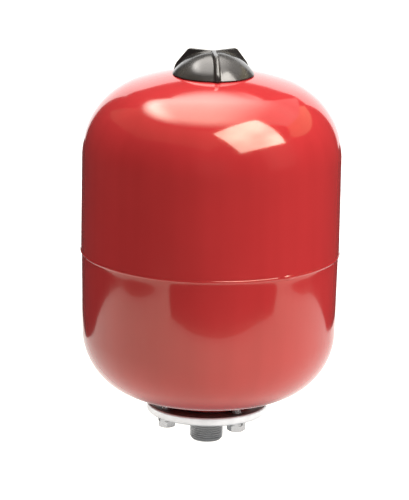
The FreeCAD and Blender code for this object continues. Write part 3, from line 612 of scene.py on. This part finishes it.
def weld_bead():
    """The bead on the seam, with fine ripples and a thicker start and stop."""
    columns = 720
    angles = turn_angles(columns)
    middle = (SEAM_LOW[2] + SEAM_HIGH[2]) / 2 + 0.1
    root, bead_centre, bead_radius = LIP + 0.2, (101.35, middle + 0.2), 1.6
    outline = [(root, 132.8), (101.9, 133.3), (102.35, 133.3)]
    outline += arc(bead_centre, bead_radius, 47, -62, 9)
    outline += [(101.6, 130.6), (root, 131.6)]
    apart = np.abs(np.mod(angles - WELD_STOP + math.pi, TAU) - math.pi)
    lump = np.exp(-((apart / 0.035) ** 2))
    crater = np.exp(-(((apart - 0.055) / 0.02) ** 2))
    ripple = 0.05 * np.sin(angles * 360)
    wander = 0.10 * np.sin(angles * 7 + 1.0) + 0.06 * np.sin(angles * 19)
    points = []
    for radius, height in outline:
        proud = np.clip((radius - 102.3) / 0.7, 0, 1)
        out = radius + proud * (ripple + 0.75 * lump - 0.25 * crater) - 0.08 * proud
        up = height + wander * proud + np.sign(height - middle) * lump * 0.9 * (radius > 102.0)
        points.append(ring(out, angles, up))
    points, faces = np.concatenate(points), ring_faces(len(outline), columns)
    new_piece("seam_weld_bead", points, faces, "red_paint", "tank", ["seam_weld"], 50)


# ------------ connection end

BOLT_CIRCLE = 39.3
BOLT_FIRST = math.radians(36.5)
BOLT_TWIST = math.radians(-6.5)
BOLT_HOLE = 4.5
HEAD_FLATS = 13.0


def bolt_places():
    """Centre in millimetres and angle from +X of each of the four bolts."""
    angles = [BOLT_FIRST + k * TAU / 4 for k in range(4)]
    return [(BOLT_CIRCLE * math.cos(angle), BOLT_CIRCLE * math.sin(angle), angle) for angle in angles]


def at_bolts(parts, twist=0.0):
    """The parts, each (points, faces) around the origin's vertical, repeated at the four bolts."""
    places = bolt_places()
    return join(*[(moved(part, x, y, turn + twist), faces) for x, y, turn in places for part, faces in parts])


def drill_for_bolts(piece, low, high):
    """Cuts the four bolts' upright round holes, from low to high in millimetres, out of a piece."""
    sides = 48
    angles = turn_angles(sides)
    wall = np.concatenate([ring(BOLT_HOLE, angles, low), ring(BOLT_HOLE, angles, high)])
    faces = ring_faces(2, sides, False) + [tuple(range(sides - 1, -1, -1)), tuple(range(sides, 2 * sides))]
    points, faces = join(*[(moved(wall, x, y, 0.0), faces) for x, y, _ in bolt_places()])
    cutter = add_mesh("cutter", points * MM, faces)
    cut = piece.modifiers.new("holes", "BOOLEAN")
    cut.operation = "DIFFERENCE"
    cut.solver = "EXACT"
    cut.object = cutter
    bpy.context.view_layer.update()
    graph = bpy.context.evaluated_depsgraph_get()
    result = bpy.data.meshes.new_from_object(piece.evaluated_get(graph))
    piece.modifiers.clear()
    spent = (piece.data, cutter.data)
    piece.data = result
    bpy.data.objects.remove(cutter)
    for mesh in spent:
        bpy.data.meshes.remove(mesh)
    smooth(result, 35)


def make_flange():
    """Plated round plate, its upper edge rounded, with a fine chamfer below."""
    low, high, radius = FLANGE_LOW[2], FLANGE_HIGH[2], FLANGE_HIGH[0]
    bore, chamfer, edge_round, groove = 12.65, 0.3, 1.6, high - 0.25
    outline = [(bore, low + chamfer), (bore + chamfer, low), (26.0, low), (radius - 1.1, low)]
    outline += [(radius - 0.05, low + 1.0), (radius, low + 1.15)]
    outline += arc((radius - edge_round, high - edge_round), edge_round, 0, 90, 8)
    outline += [(37.0, high), (36.6, groove), (30.0, groove), (29.6, high)]
    outline += [(bore + chamfer, high), (bore, high - chamfer)]
    points, faces = lathe(outline, 160)
    piece = new_piece("flange_plate", points, faces, "zinc_plate", "tank", ["connection_flange"], 35)
    drill_for_bolts(piece, low - 2, high + 2)


def make_nipple():
    """Pipe nipple with a real G 3/4 thread, its end chamfered, and the bore through it."""
    low, high, under = NIPPLE_LOW[2], NIPPLE_HIGH[2], FLANGE_LOW[2]
    crest, depth, pitch, shank, bore = 13.22, 1.16, 1.814, 12.55, 9.5
    columns = 128
    wall = threaded(low, under - 1.2, crest, depth, pitch, columns, 12, (2.4, 0.8))
    rest = [(12.0, under - 0.8), (shank, under - 0.4), (shank, high - 0.4), (12.2, high)]
    rest += [(bore + 0.4, high), (bore, high - 0.5), (bore, low + 0.6), (bore + 0.4, low)]
    points, faces = tube([wall], rest, columns)
    new_piece("pipe_nipple_threaded", points, faces, "nipple_steel", "tank", ["pipe_nipple"], 40)


def hexagon_radius(angle, flats):
    """Distance from a hexagon's centre to its edge, its corners slightly rounded."""
    part = np.mod(angle, TAU / 6) - TAU / 12
    sharp = flats / 2 / np.cos(part)
    return np.minimum(sharp, flats / math.sqrt(3) - 0.12)


def hex_head(low, high, flats, hole=0.0, dish=0.0):
    """A hexagon from low up to high, its corners chamfered, with a dish below and a hole through it."""
    steps = 96
    angles = turn_angles(steps)
    edge = hexagon_radius(angles, flats)
    inner = 0.94 * flats / 2
    lower = low + np.maximum(0, edge - inner) * math.tan(math.radians(28))
    upper = high - np.maximum(0, edge - 0.97 * flats / 2) * math.tan(math.radians(20))
    rings = [
        (inner * 0.62, low + dish),
        (inner * 0.70, low),
        (inner, low),
        (edge - 0.12, lower),
        (edge, lower + 0.12),
        (edge, upper - 0.05),
        (edge - 0.1, upper),
        (inner * 0.98, high),
    ]
    if hole:
        rings = [(hole, low + dish)] + rings + [(hole, high)]
    points = np.concatenate([ring_from_x(radius, angles, height) for radius, height in rings])
    if hole:
        return points, ring_faces(len(rings), steps)
    return capped(points, steps, low + dish, high)


def make_bolts():
    """Four M8 hexagon bolts: chamfered heads with a shallow forged dish, threaded shanks."""
    low, high = BOLT_LOW[2], BOLT_HIGH[2]
    seat = WASHER_LOW[2]
    crest, depth, pitch, columns = 3.95, 0.66, 1.25, 48
    head = hex_head(low, seat, HEAD_FLATS, dish=0.35)
    wall = threaded(seat - 0.4, high, crest, depth, pitch, columns, 8, (0.0, 0.9))
    shank = capped(wall, columns, seat - 0.4, high)
    points, faces = at_bolts([head, shank], BOLT_TWIST)
    new_piece("flange_bolts_m8", points, faces, "bolt_zinc", "tank", ["flange_bolts"], 28)


def make_washers():
    """Four split lock washers, flattened, the cut showing as a narrow slanted gap."""
    low, high = WASHER_LOW[2], WASHER_HIGH[2]
    steps = 64
    inner, outer, gap, slope = 4.1, 7.4, 1.3, 0.6
    section = rounded([(inner, low), (outer, low), (outer, high), (inner, high)], 0.3, 2)
    points = []
    for radius, height in section:
        slant = (height - low) / (high - low) * slope
        start = (gap / 2 + slant) / radius
        end = TAU - (gap / 2 - slant) / radius
        points.append(ring_from_x(radius, np.linspace(start, end, steps), height))
    count = len(section)
    faces = []
    for i in range(count):
        a, b = i * steps, ((i + 1) % count) * steps
        faces += [(a + j, a + j + 1, b + j + 1, b + j) for j in range(steps - 1)]
    faces.append(tuple(i * steps for i in range(count)))
    faces.append(tuple(i * steps + steps - 1 for i in reversed(range(count))))
    points, faces = at_bolts([(np.concatenate(points), faces)])
    new_piece("lock_washers_split", points, faces, "bolt_zinc", "tank", ["lock_washers"], 35)


# ------------ valve under the cover

COVER_PITCH = 3.0
RECESS_FLOOR = 275.0


def make_boss():
    """Steel boss in the crown, threaded outside for the cover, with the valve's recess."""
    columns = 96
    low, high = BOSS_LOW[2], BOSS_HIGH[2]
    ledge, depth, recess, stem_hole, neck = 276.1, 0.9, 9.6, 4.86, 11.9
    wall = threaded(ledge, high, BOSS_HIGH[0], depth, COVER_PITCH, columns, 16, (0.0, 0.9))
    rest = [(recess + 0.3, high), (recess, high - 0.3), (recess, RECESS_FLOOR), (stem_hole, RECESS_FLOOR)]
    rest += [(stem_hole, low), (neck - 0.3, low), (neck, low + 0.3), (neck, ledge)]
    points, faces = tube([wall], rest, columns)
    new_piece("valve_boss_threaded", points, faces, "bare_steel", "tank", ["valve_boss"], 40)


def make_stem():
    """Brass valve stem: screw, hexagon and the fine valve thread."""
    columns = 64
    low, high = STEM_LOW[2], STEM_HIGH[2]
    hex_low, hex_high, flats, hex_hole = 275.6, 278.4, 12.0, 3.3
    screw_crest, screw_depth, screw_pitch = 4.78, 0.5, 1.0
    valve_crest, valve_depth, valve_pitch = 3.84, 0.42, 0.79375
    bore, air_way, ledge = 2.65, 1.4, 268.0
    walls = [
        threaded(low, RECESS_FLOOR, screw_crest, screw_depth, screw_pitch, columns, 8, (0.8, 0.4)),
        threaded(hex_high - 0.3, high, valve_crest, valve_depth, valve_pitch, columns, 8, (0.5, 0.5)),
    ]
    rest = [(2.9, high), (bore, high - 0.4), (bore, ledge), (air_way, ledge), (air_way, low)]
    points, faces = join(tube(walls, rest, columns), hex_head(hex_low, hex_high, flats, hex_hole))
    new_piece("valve_stem_threaded", points, faces, "valve_brass", "tank", ["valve_stem"], 35)


def make_spring():
    """The valve core's coil spring. It is squeezed between the stem's ledge and the pin's plate."""
    wire, sides, turns, steps_per_turn = 0.18, 10, 4, 32
    radius = SPRING_HIGH[0] - wire
    section = turn_angles(sides)
    rows = turns * steps_per_turn + 1
    points = []
    for share in np.linspace(0, 1, rows):
        height = SPRING_LOW[2] + wire + share * (SPRING_HIGH[2] - SPRING_LOW[2] - 2 * wire)
        out, up = radius + wire * np.cos(section), height + wire * np.sin(section)
        points.append(np.stack(around(out, share * turns * TAU, up), 1))
    faces = [face[::-1] for face in ring_faces(rows, sides, False)]
    last = (rows - 1) * sides
    faces += [tuple(range(sides)), tuple(range(last + sides - 1, last - 1, -1))]
    points = np.concatenate(points)
    coil = new_piece("spring_coil", points, faces, "spring_steel", None, ["core_spring"], 60)
    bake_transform(coil)


def make_dust_cap():
    """Small screw cap with grip ribs and a domed top."""
    columns = 144
    low, high, roof = CAP_LOW[2], CAP_HIGH[2], 284.1
    bore, crown, radius, rib_count, rib_depth = 3.95, 2.0, 4.85, 24, 0.28
    outside = [(bore, low + 0.2), (4.1, low), (4.4, low), (4.6, low + 0.2), (radius, low + 0.8)]
    outside += [(radius, high - 1.2)] + arc((3.9, high - 1.0), 0.95, 0, 80, 5) + [(crown, high - 0.02)]
    inside = [(crown, roof), (3.7, roof), (bore, roof - 0.3)]

    def ribs(out, angles, up):
        grip = (out > 4.7) & (up < high - 0.9)
        return out - grip * rib_depth * (0.5 - 0.5 * np.cos(angles * rib_count))

    points, faces = lathe(outside + inside, columns, ribs)
    # The faces between the two crowns give way to the top outside and the roof inside.
    top = len(outside) - 1
    centre = len(points)
    points = np.concatenate([points, [(0, 0, high), (0, 0, roof)]])
    keep = [face for i, face in enumerate(faces) if i // columns != top]
    a, b = top * columns, (top + 1) * columns
    for j in range(columns):
        k = (j + 1) % columns
        keep += [(a + j, a + k, centre), (b + k, b + j, centre + 1)]
    new_piece("dust_cap_ribbed", points, keep, "cap_plastic", "dust_cap", ["dust_cap"], 40)


# ------------ the valve cover

FIN_FIRST = math.radians(36.0)
FIN_HALF = 1.8
COVER_WALL = 2.0
SOCKET_ROOF = 284.6
CELL = 0.45


def soft_min(a, b, k):
    """The smaller of two fields, blended over a width k."""
    h = np.clip(0.5 + 0.5 * (b - a) / k, 0, 1)
    return b * (1 - h) + a * h - k * h * (1 - h)


def soft_max(a, b, k):
    """The larger of two fields, blended over a width k."""
    return -soft_min(-a, -b, k)


def slanted(radius, height, start, end):
    """Signed distance to the line through two outline points, positive outside it."""
    along = np.array([end[0] - start[0], end[1] - start[1]], float)
    along /= np.linalg.norm(along)
    return (radius - start[0]) * along[1] - (height - start[1]) * along[0]


def cover_field(x, y, z):
    """Distance-like field of the cover: below zero inside the plastic."""
    base, peak = COVER_LOW[2], COVER_HIGH[2]
    rim_radius, dome = 32.4, 17.25
    fin_foot, fin_bend, fin_top = (33.5, base), (33.0, 278.6), (21.5, peak)
    socket_middle, socket_half, socket_low = 15.53, 1.45, 276.9
    bore, roof_radius, cap_room_radius = 14.08, 14.5, 10.0
    sphere = (rim_radius**2 + dome**2) / (2 * dome)
    centre = base + dome - sphere
    flat = np.sqrt(x * x + y * y)
    ball = np.sqrt(flat * flat + (z - centre) ** 2)
    solid = ball - sphere
    fins = None
    for k in range(3):
        angle = FIN_FIRST + k * TAU / 3
        out = x * math.cos(angle) + y * math.sin(angle)
        side = -x * math.sin(angle) + y * math.cos(angle)
        taper = FIN_HALF - 0.012 * (z - base) * 1.6
        fin = np.abs(side) - taper
        outline = soft_max(z - peak, slanted(out, z, fin_bend, fin_top), 1.6)
        outline = soft_max(outline, slanted(out, z, fin_foot, fin_bend), 2.0)
        fin = soft_max(fin, outline, 0.9)
        fin = np.maximum(fin, -out - 0.5)
        fins = fin if fins is None else soft_min(fins, fin, 0.8)
    solid = soft_min(solid, fins, 1.9)
    solid = soft_max(solid, base - z, 0.5)
    hollow = ball - (sphere - COVER_WALL)
    socket = np.maximum(np.abs(flat - socket_middle) - socket_half, socket_low - z)
    thread = bore + 0.45 * thread_depth(z / COVER_PITCH + np.arctan2(x, -y) / TAU)
    threaded_bore = np.maximum(flat - thread, z - SOCKET_ROOF)
    cap_room = np.maximum(flat - cap_room_radius, hollow)
    inner = soft_max(hollow, -socket, 0.6)
    inner = np.maximum(inner, -np.maximum(flat - roof_radius, SOCKET_ROOF - z))
    cavity = np.minimum(np.minimum(inner, threaded_bore), cap_room)
    return soft_max(solid, -cavity, 0.25)


def surface_net(field, low, high, step):
    """Quads on a field's zero surface: one point per crossed cell, then pulled onto the surface."""
    axes = [np.arange(a, b + step, step) for a, b in zip(low, high)]
    grid = np.meshgrid(*axes, indexing="ij")
    value = field(*grid)
    inside = value < 0
    shape = tuple(n - 1 for n in value.shape)
    total = np.zeros(shape + (3,))
    count = np.zeros(shape)
    corners = [(i, j, k) for i in (0, 1) for j in (0, 1) for k in (0, 1)]

    def part(array, corner):
        i, j, k = corner
        return array[i : i + shape[0], j : j + shape[1], k : k + shape[2]]

    for first in corners:
        for axis in range(3):
            if first[axis]:
                continue
            second = tuple(1 if n == axis else first[n] for n in range(3))
            a, b = part(value, first), part(value, second)
            crossed = (a < 0) != (b < 0)
            share = np.where(crossed, a / np.where(crossed, a - b, 1), 0)
            for n in range(3):
                add = first[n] + (share if n == axis else 0)
                total[..., n] += np.where(crossed, add, 0)
            count += crossed
    cells = np.argwhere(count > 0)
    number = -np.ones(shape, int)
    number[tuple(cells.T)] = np.arange(len(cells))
    points = total[tuple(cells.T)] / count[tuple(cells.T)][:, None]
    points = (points + cells) * step + np.array(low)
    faces = []
    for axis in range(3):
        u, v = (axis + 1) % 3, (axis + 2) % 3
        ahead = [slice(None)] * 3
        here = [slice(None)] * 3
        ahead[axis], here[axis] = slice(1, None), slice(None, -1)
        a, b = inside[tuple(here)], inside[tuple(ahead)]
        for flip, where in ((False, np.argwhere(a & ~b)), (True, np.argwhere(~a & b))):
            where = where[(where[:, u] > 0) & (where[:, v] > 0)]
            where = where[(where[:, u] < shape[u]) & (where[:, v] < shape[v])]
            quads = []
            for du, dv in ((1, 1), (0, 1), (0, 0), (1, 0)):
                cell = where.copy()
                cell[:, u] -= du
                cell[:, v] -= dv
                quads.append(number[tuple(cell.T)])
            quads = np.stack(quads, 1)
            quads = quads[(quads >= 0).all(1)]
            if flip:
                quads = quads[:, ::-1]
            faces += quads.tolist()
    small, longest_move = 0.02, 0.15
    for _ in range(4):
        here = field(*points.T)
        change = [field(*(points + step).T) - field(*(points - step).T) for step in small * np.eye(3)]
        slope = np.stack(change, 1) / (2 * small)
        length = np.maximum((slope**2).sum(1), 0.05)
        move = np.clip(here / length, -longest_move, longest_move)
        points = points - slope * move[:, None]
    return points, faces


def make_cover():
    """Screw cover: a dome with three grip fins, hollow below, and a threaded socket for the boss."""
    margin = 1.2
    points, faces = surface_net(cover_field, COVER_LOW - margin, COVER_HIGH + margin, CELL)
    points = np.clip(points, COVER_LOW, COVER_HIGH)
    new_piece("valve_cover_finned", points, faces, "cover_plastic", "cover", ["valve_cover"])


# ------------ studio

# Places and sizes in metres. Cards stand a little apart from the floor and from each other.
FLOOR = CAD_LOW.z
FLOOR_HALF = 9.0
SHADE_ABOVE, SURROUND_ABOVE, BACK_FLOOR_ABOVE = 0.0003, 0.001, 0.002
CEILING = 1.74
LEAF_ABOVE = 0.02
BACK = 1.5
ROOM_COLOUR = (1.0, 0.93, 0.92)
ROOM_GLOW = 0.05
# How strongly the floor glows for the camera, for diffuse rays, and on top of that for glossy rays.
FLOOR_SEEN, FLOOR_FELT, FLOOR_SHINE = 1.35, 0.65, 0.45
BACKDROP_GLOW = 1.2

# The lit part of the floor as the vessel's paint shows it, from its left end by the front:
# round ends, a bowed front edge between two corners, and a narrow opening to the back.
LIT_FLOOR = (
    arc((-0.30, -0.08), 0.24, 100, 187, 6)
    + [(-0.34, -0.50)]
    + arc((-0.06, 0.46), 0.90, 258, 294, 8)
    + [(0.40, -0.29), (0.50, -0.30), (0.53, -0.20)]
    + arc((0.30, -0.03), 0.24, 15, 85, 5)
    + [(0.18, 0.36), (0.40, BACK), (-0.40, BACK), (-0.18, 0.36), (-0.25, 0.22)]
)
# The ceiling's cards: a round light with a wide right wing, and a paler leaf on either side.
OVERHEAD = (
    arc((0.0, 0.5), 1.2, 137, 268, 12)
    + [(0.80, -0.15), (1.65, 0.30), (1.65, 1.25), (1.25, 2.80), (0.72, 1.50)]
    + arc((0.06, 1.35), 0.47, 0, 180, 10)
)
LEFT_CEILING = [(-2.9, 2.4), (-2.4, -0.35), (-2.15, -0.75), (-0.1, -2.2)]
LEFT_CEILING += [(0.3, -1.5), (0.0, 0.5), (-1.25, 1.1), (-2.6, 3.0)]
RIGHT_CEILING = arc((1.7, 1.15), 1.35, -62, 92, 10) + [(1.47, 2.0), (1.65, 1.25), (1.65, 0.30)]
# The window faces the vessel's axis at the height WINDOW_AIM from this distance, turned to the right
# of the front and raised. Its corners are places in its own plane.
WINDOW_AIM = 0.24
WINDOW_AWAY = 1.3
WINDOW_SIDE = math.radians(53)
WINDOW_RISE = math.radians(54)
WINDOW = ((-0.58, 0.37), (0.38, 0.37), (0.52, -0.53), (-0.58, -0.53))


def on_window(across, up):
    """A point of the window from its place in the window's own plane."""
    level = WINDOW_AWAY * math.cos(WINDOW_RISE) - up * math.sin(WINDOW_RISE)
    x = level * math.sin(WINDOW_SIDE) + across * math.cos(WINDOW_SIDE)
    y = across * math.sin(WINDOW_SIDE) - level * math.cos(WINDOW_SIDE)
    return (x, y, WINDOW_AIM + WINDOW_AWAY * math.sin(WINDOW_RISE) + up * math.cos(WINDOW_RISE))


def glow(name, colour, strength, pattern=None):
    """A material that only gives off light. pattern makes a factor from the place on the card."""
    s = Shader(name)
    if pattern:
        strength = s.math("MULTIPLY", pattern(s), strength)
    made = s.node("ShaderNodeEmission", Color=(*colour, 1.0), Strength=strength)
    return s.replace(made.outputs["Emission"])


def round_light(s):
    """Factor of the round overhead light: a soft front edge, brightest on the left, dim on the right."""
    across, back = s.along("X"), s.along("Y")
    off = s.math("SUBTRACT", back, 0.6)
    distance = s.math("SQRT", s.math("ADD", s.math("MULTIPLY", across, across), s.math("MULTIPLY", off, off)))
    soft = s.span(distance, 0.75, 1.22, 1.0, 0.0, True)
    past = s.span(across, 0.1, 0.5, 0.0, 1.0, True)
    edge = s.math("MAXIMUM", soft, past)
    left = s.span(across, -0.95, -0.50, 2.35, 1.0, True)
    right = s.span(across, -0.1, 0.9, 1.0, 0.2, True)
    deep = s.span(back, 0.9, 1.6, 1.0, 0.6, True)
    return s.math("MULTIPLY", s.math("MULTIPLY", edge, deep), s.math("MULTIPLY", left, right))


def clouded(s):
    """Factor of the window: uneven, as the sky and the trees outside are."""
    return s.span(s.noise(1.6, 2.0), 0.35, 0.65, 0.75, 1.15, True)


def card(name, points, material, faces=None):
    """A flat card of the studio that shows only in reflections, as one face or as the given ones."""
    made = add_mesh(name, points, faces or [tuple(range(len(points)))], material)
    made.visible_camera = False
    made.visible_shadow = False
    made.visible_diffuse = False


def on_ceiling(outline, above=0.0):
    """Points of an outline on the ceiling, or above it."""
    return [(x, y, CEILING + above) for x, y in outline]


def square(half, height):
    """Corners of a level square around the axis, in metres."""
    return [(-half, -half, height), (half, -half, height), (half, half, height), (-half, half, height)]


def make_floor():
    """Plain pale floor. Around its lit part, the vessel's paint shows the dark room."""
    s = Shader("pale_floor")
    s.set(Base_Color=(0.25, 0.25, 0.25, 1), Roughness=0.9, Specular_IOR_Level=0.0)
    s.set(Emission_Color=(1.0, 0.965, 0.90, 1))
    path = s.node("ShaderNodeLightPath")
    camera, glossy = path.outputs["Is Camera Ray"], path.outputs["Is Glossy Ray"]
    felt = s.span(camera, 0.0, 1.0, FLOOR_FELT, FLOOR_SEEN)
    shown = s.span(glossy, 0.0, 1.0, 0.0, FLOOR_SHINE)
    fading = s.math("MULTIPLY", s.math("ADD", felt, shown), s.span(s.along("Y"), 0.0, 0.2, 1.0, 0.75))
    seen = s.span(camera, 0.0, 1.0, 0.0, FLOOR_SEEN)
    s.link(s.math("MAXIMUM", fading, seen), s.surface.inputs["Emission Strength"])
    floor = add_mesh("floor", square(FLOOR_HALF, FLOOR), [(0, 1, 2, 3)], s.material)
    height = FLOOR + SURROUND_ABOVE
    reach = 2 * FLOOR_HALF
    inner = [(x, y, height) for x, y in LIT_FLOOR]
    outer = [(x * reach / math.hypot(x, y), y * reach / math.hypot(x, y), height) for x, y in LIT_FLOOR]
    faces = ring_faces(2, len(LIT_FLOOR), False)
    card("dark_surround", inner + outer, glow("dark_room", ROOM_COLOUR, ROOM_GLOW), faces)


def make_shade():
    """The shade under the vessel, which only shows in its plating and on its underside."""
    s = Shader("vessel_shade")
    place = s.node("ShaderNodeVectorMath", Vector=s.place)
    place.operation = "LENGTH"
    shade = s.node("ShaderNodeEmission", Color=(1.0, 1.0, 1.0, 1.0), Strength=0.34)
    clear = s.node("ShaderNodeBsdfTransparent")
    blend = s.node("ShaderNodeMixShader", Fac=s.span(place.outputs["Value"], 0.05, 0.09, 1.0, 0.0, True))
    s.link(clear.outputs["BSDF"], blend.inputs[1])
    s.link(shade.outputs["Emission"], blend.inputs[2])
    card("shade", square(0.16, FLOOR + SHADE_ABOVE), s.replace(blend.outputs["Shader"]))


def lamp(name, place, size, power):
    """A square soft light turned to the vessel. Paint and plating show the cards instead of it."""
    data = bpy.data.lights.new(name, "AREA")
    data.size = size
    data.energy = power
    made = add(name, data)
    made.location = place
    made.rotation_euler = (Vector((0, 0, 0.13)) - Vector(place)).to_track_quat("-Z", "Y").to_euler()
    made.visible_glossy = False
    made.visible_camera = False


def make_world():
    """White behind the object for the camera, the dim room for everything else."""
    world = bpy.data.worlds.new("studio")
    world.use_nodes = True
    tree = world.node_tree
    tree.nodes.clear()
    path = tree.nodes.new("ShaderNodeLightPath")
    blend = tree.nodes.new("ShaderNodeMixShader")
    output = tree.nodes.new("ShaderNodeOutputWorld")
    tree.links.new(path.outputs["Is Camera Ray"], blend.inputs[0])
    for slot, colour, strength in ((1, ROOM_COLOUR, ROOM_GLOW), (2, (1, 1, 1), BACKDROP_GLOW)):
        made = tree.nodes.new("ShaderNodeBackground")
        made.inputs["Color"].default_value = (*colour, 1)
        made.inputs["Strength"].default_value = strength
        tree.links.new(made.outputs[0], blend.inputs[slot])
    tree.links.new(blend.outputs[0], output.inputs["Surface"])
    bpy.context.scene.world = world
    bpy.context.scene.view_settings.view_transform = "Standard"


def make_lights():
    """Soft lamps for the body of the light, and the cards that the glossy paint shows."""
    window = [on_window(*corner) for corner in WINDOW]
    card("window", window, glow("window_light", (1.0, 0.95, 0.88), 12.4, clouded))
    card("overhead", on_ceiling(OVERHEAD), glow("overhead_light", (1.0, 0.95, 0.90), 5.5, round_light))
    card("left_ceiling", on_ceiling(LEFT_CEILING, LEAF_ABOVE), glow("left_light", (1.0, 0.85, 0.6), 0.3))
    card("right_ceiling", on_ceiling(RIGHT_CEILING, LEAF_ABOVE), glow("right_light", (1.0, 0.85, 0.5), 1.0))
    left, right, top = -0.75, 0.93, 1.03
    board = [(left, BACK, FLOOR), (right, BACK, FLOOR), (right, BACK, top), (left, BACK, top)]
    card("back_board", board, glow("board_light", (1.0, 1.0, 1.0), 1.5))
    height = FLOOR + BACK_FLOOR_ABOVE
    half_widths = ((0.17, 0.40), (0.30, 0.95), (0.62, BACK))
    back_floor = [(x, y, height) for x, y in half_widths] + [(-x, y, height) for x, y in half_widths[::-1]]
    card("back_floor", back_floor, glow("back_floor_light", (1.0, 1.0, 1.0), 2.2))
    lamp("key", (2.0, -0.93, 0.9), 1.2, 40.0)
    lamp("top", (0.0, 0.2, 1.5), 1.3, 41.0)
    lamp("front", (0.0, -2.6, 0.7), 1.2, 9.0)


def make_camera():
    """The camera, 3 m away and a little above, leaning by about one degree."""
    data = bpy.data.cameras.new("camera")
    data.sensor_width = 36.0
    data.sensor_fit = "AUTO"
    data.lens = 272.76
    data.shift_x = -0.011
    data.shift_y = -0.0028
    data.clip_start = 0.1
    data.clip_end = 50.0
    made = add("camera", data)
    made.location = (0, -2.90202, 0.89304)
    aim = (Vector((0, 0, 0.1326)) - made.location).to_track_quat("-Z", "Y")
    lean = Quaternion((0, 0, 1), math.radians(1.12))
    made.rotation_mode = "QUATERNION"
    made.rotation_quaternion = aim @ lean
    bpy.context.scene.camera = made


def finish_carried_nodes():
    """Gives each CAD node that is shown its own procedural finish."""
    for finish, nodes in CARRIED.items():
        for node in nodes:
            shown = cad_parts[node]
            shown.data.materials.clear()
            shown.data.materials.append(FINISHES[finish])


make_shells()
weld_bead()
make_flange()
make_nipple()
make_bolts()
make_washers()
make_boss()
make_stem()
make_spring()
make_dust_cap()
make_cover()
finish_carried_nodes()
make_floor()
make_shade()
make_lights()
make_world()
make_camera()
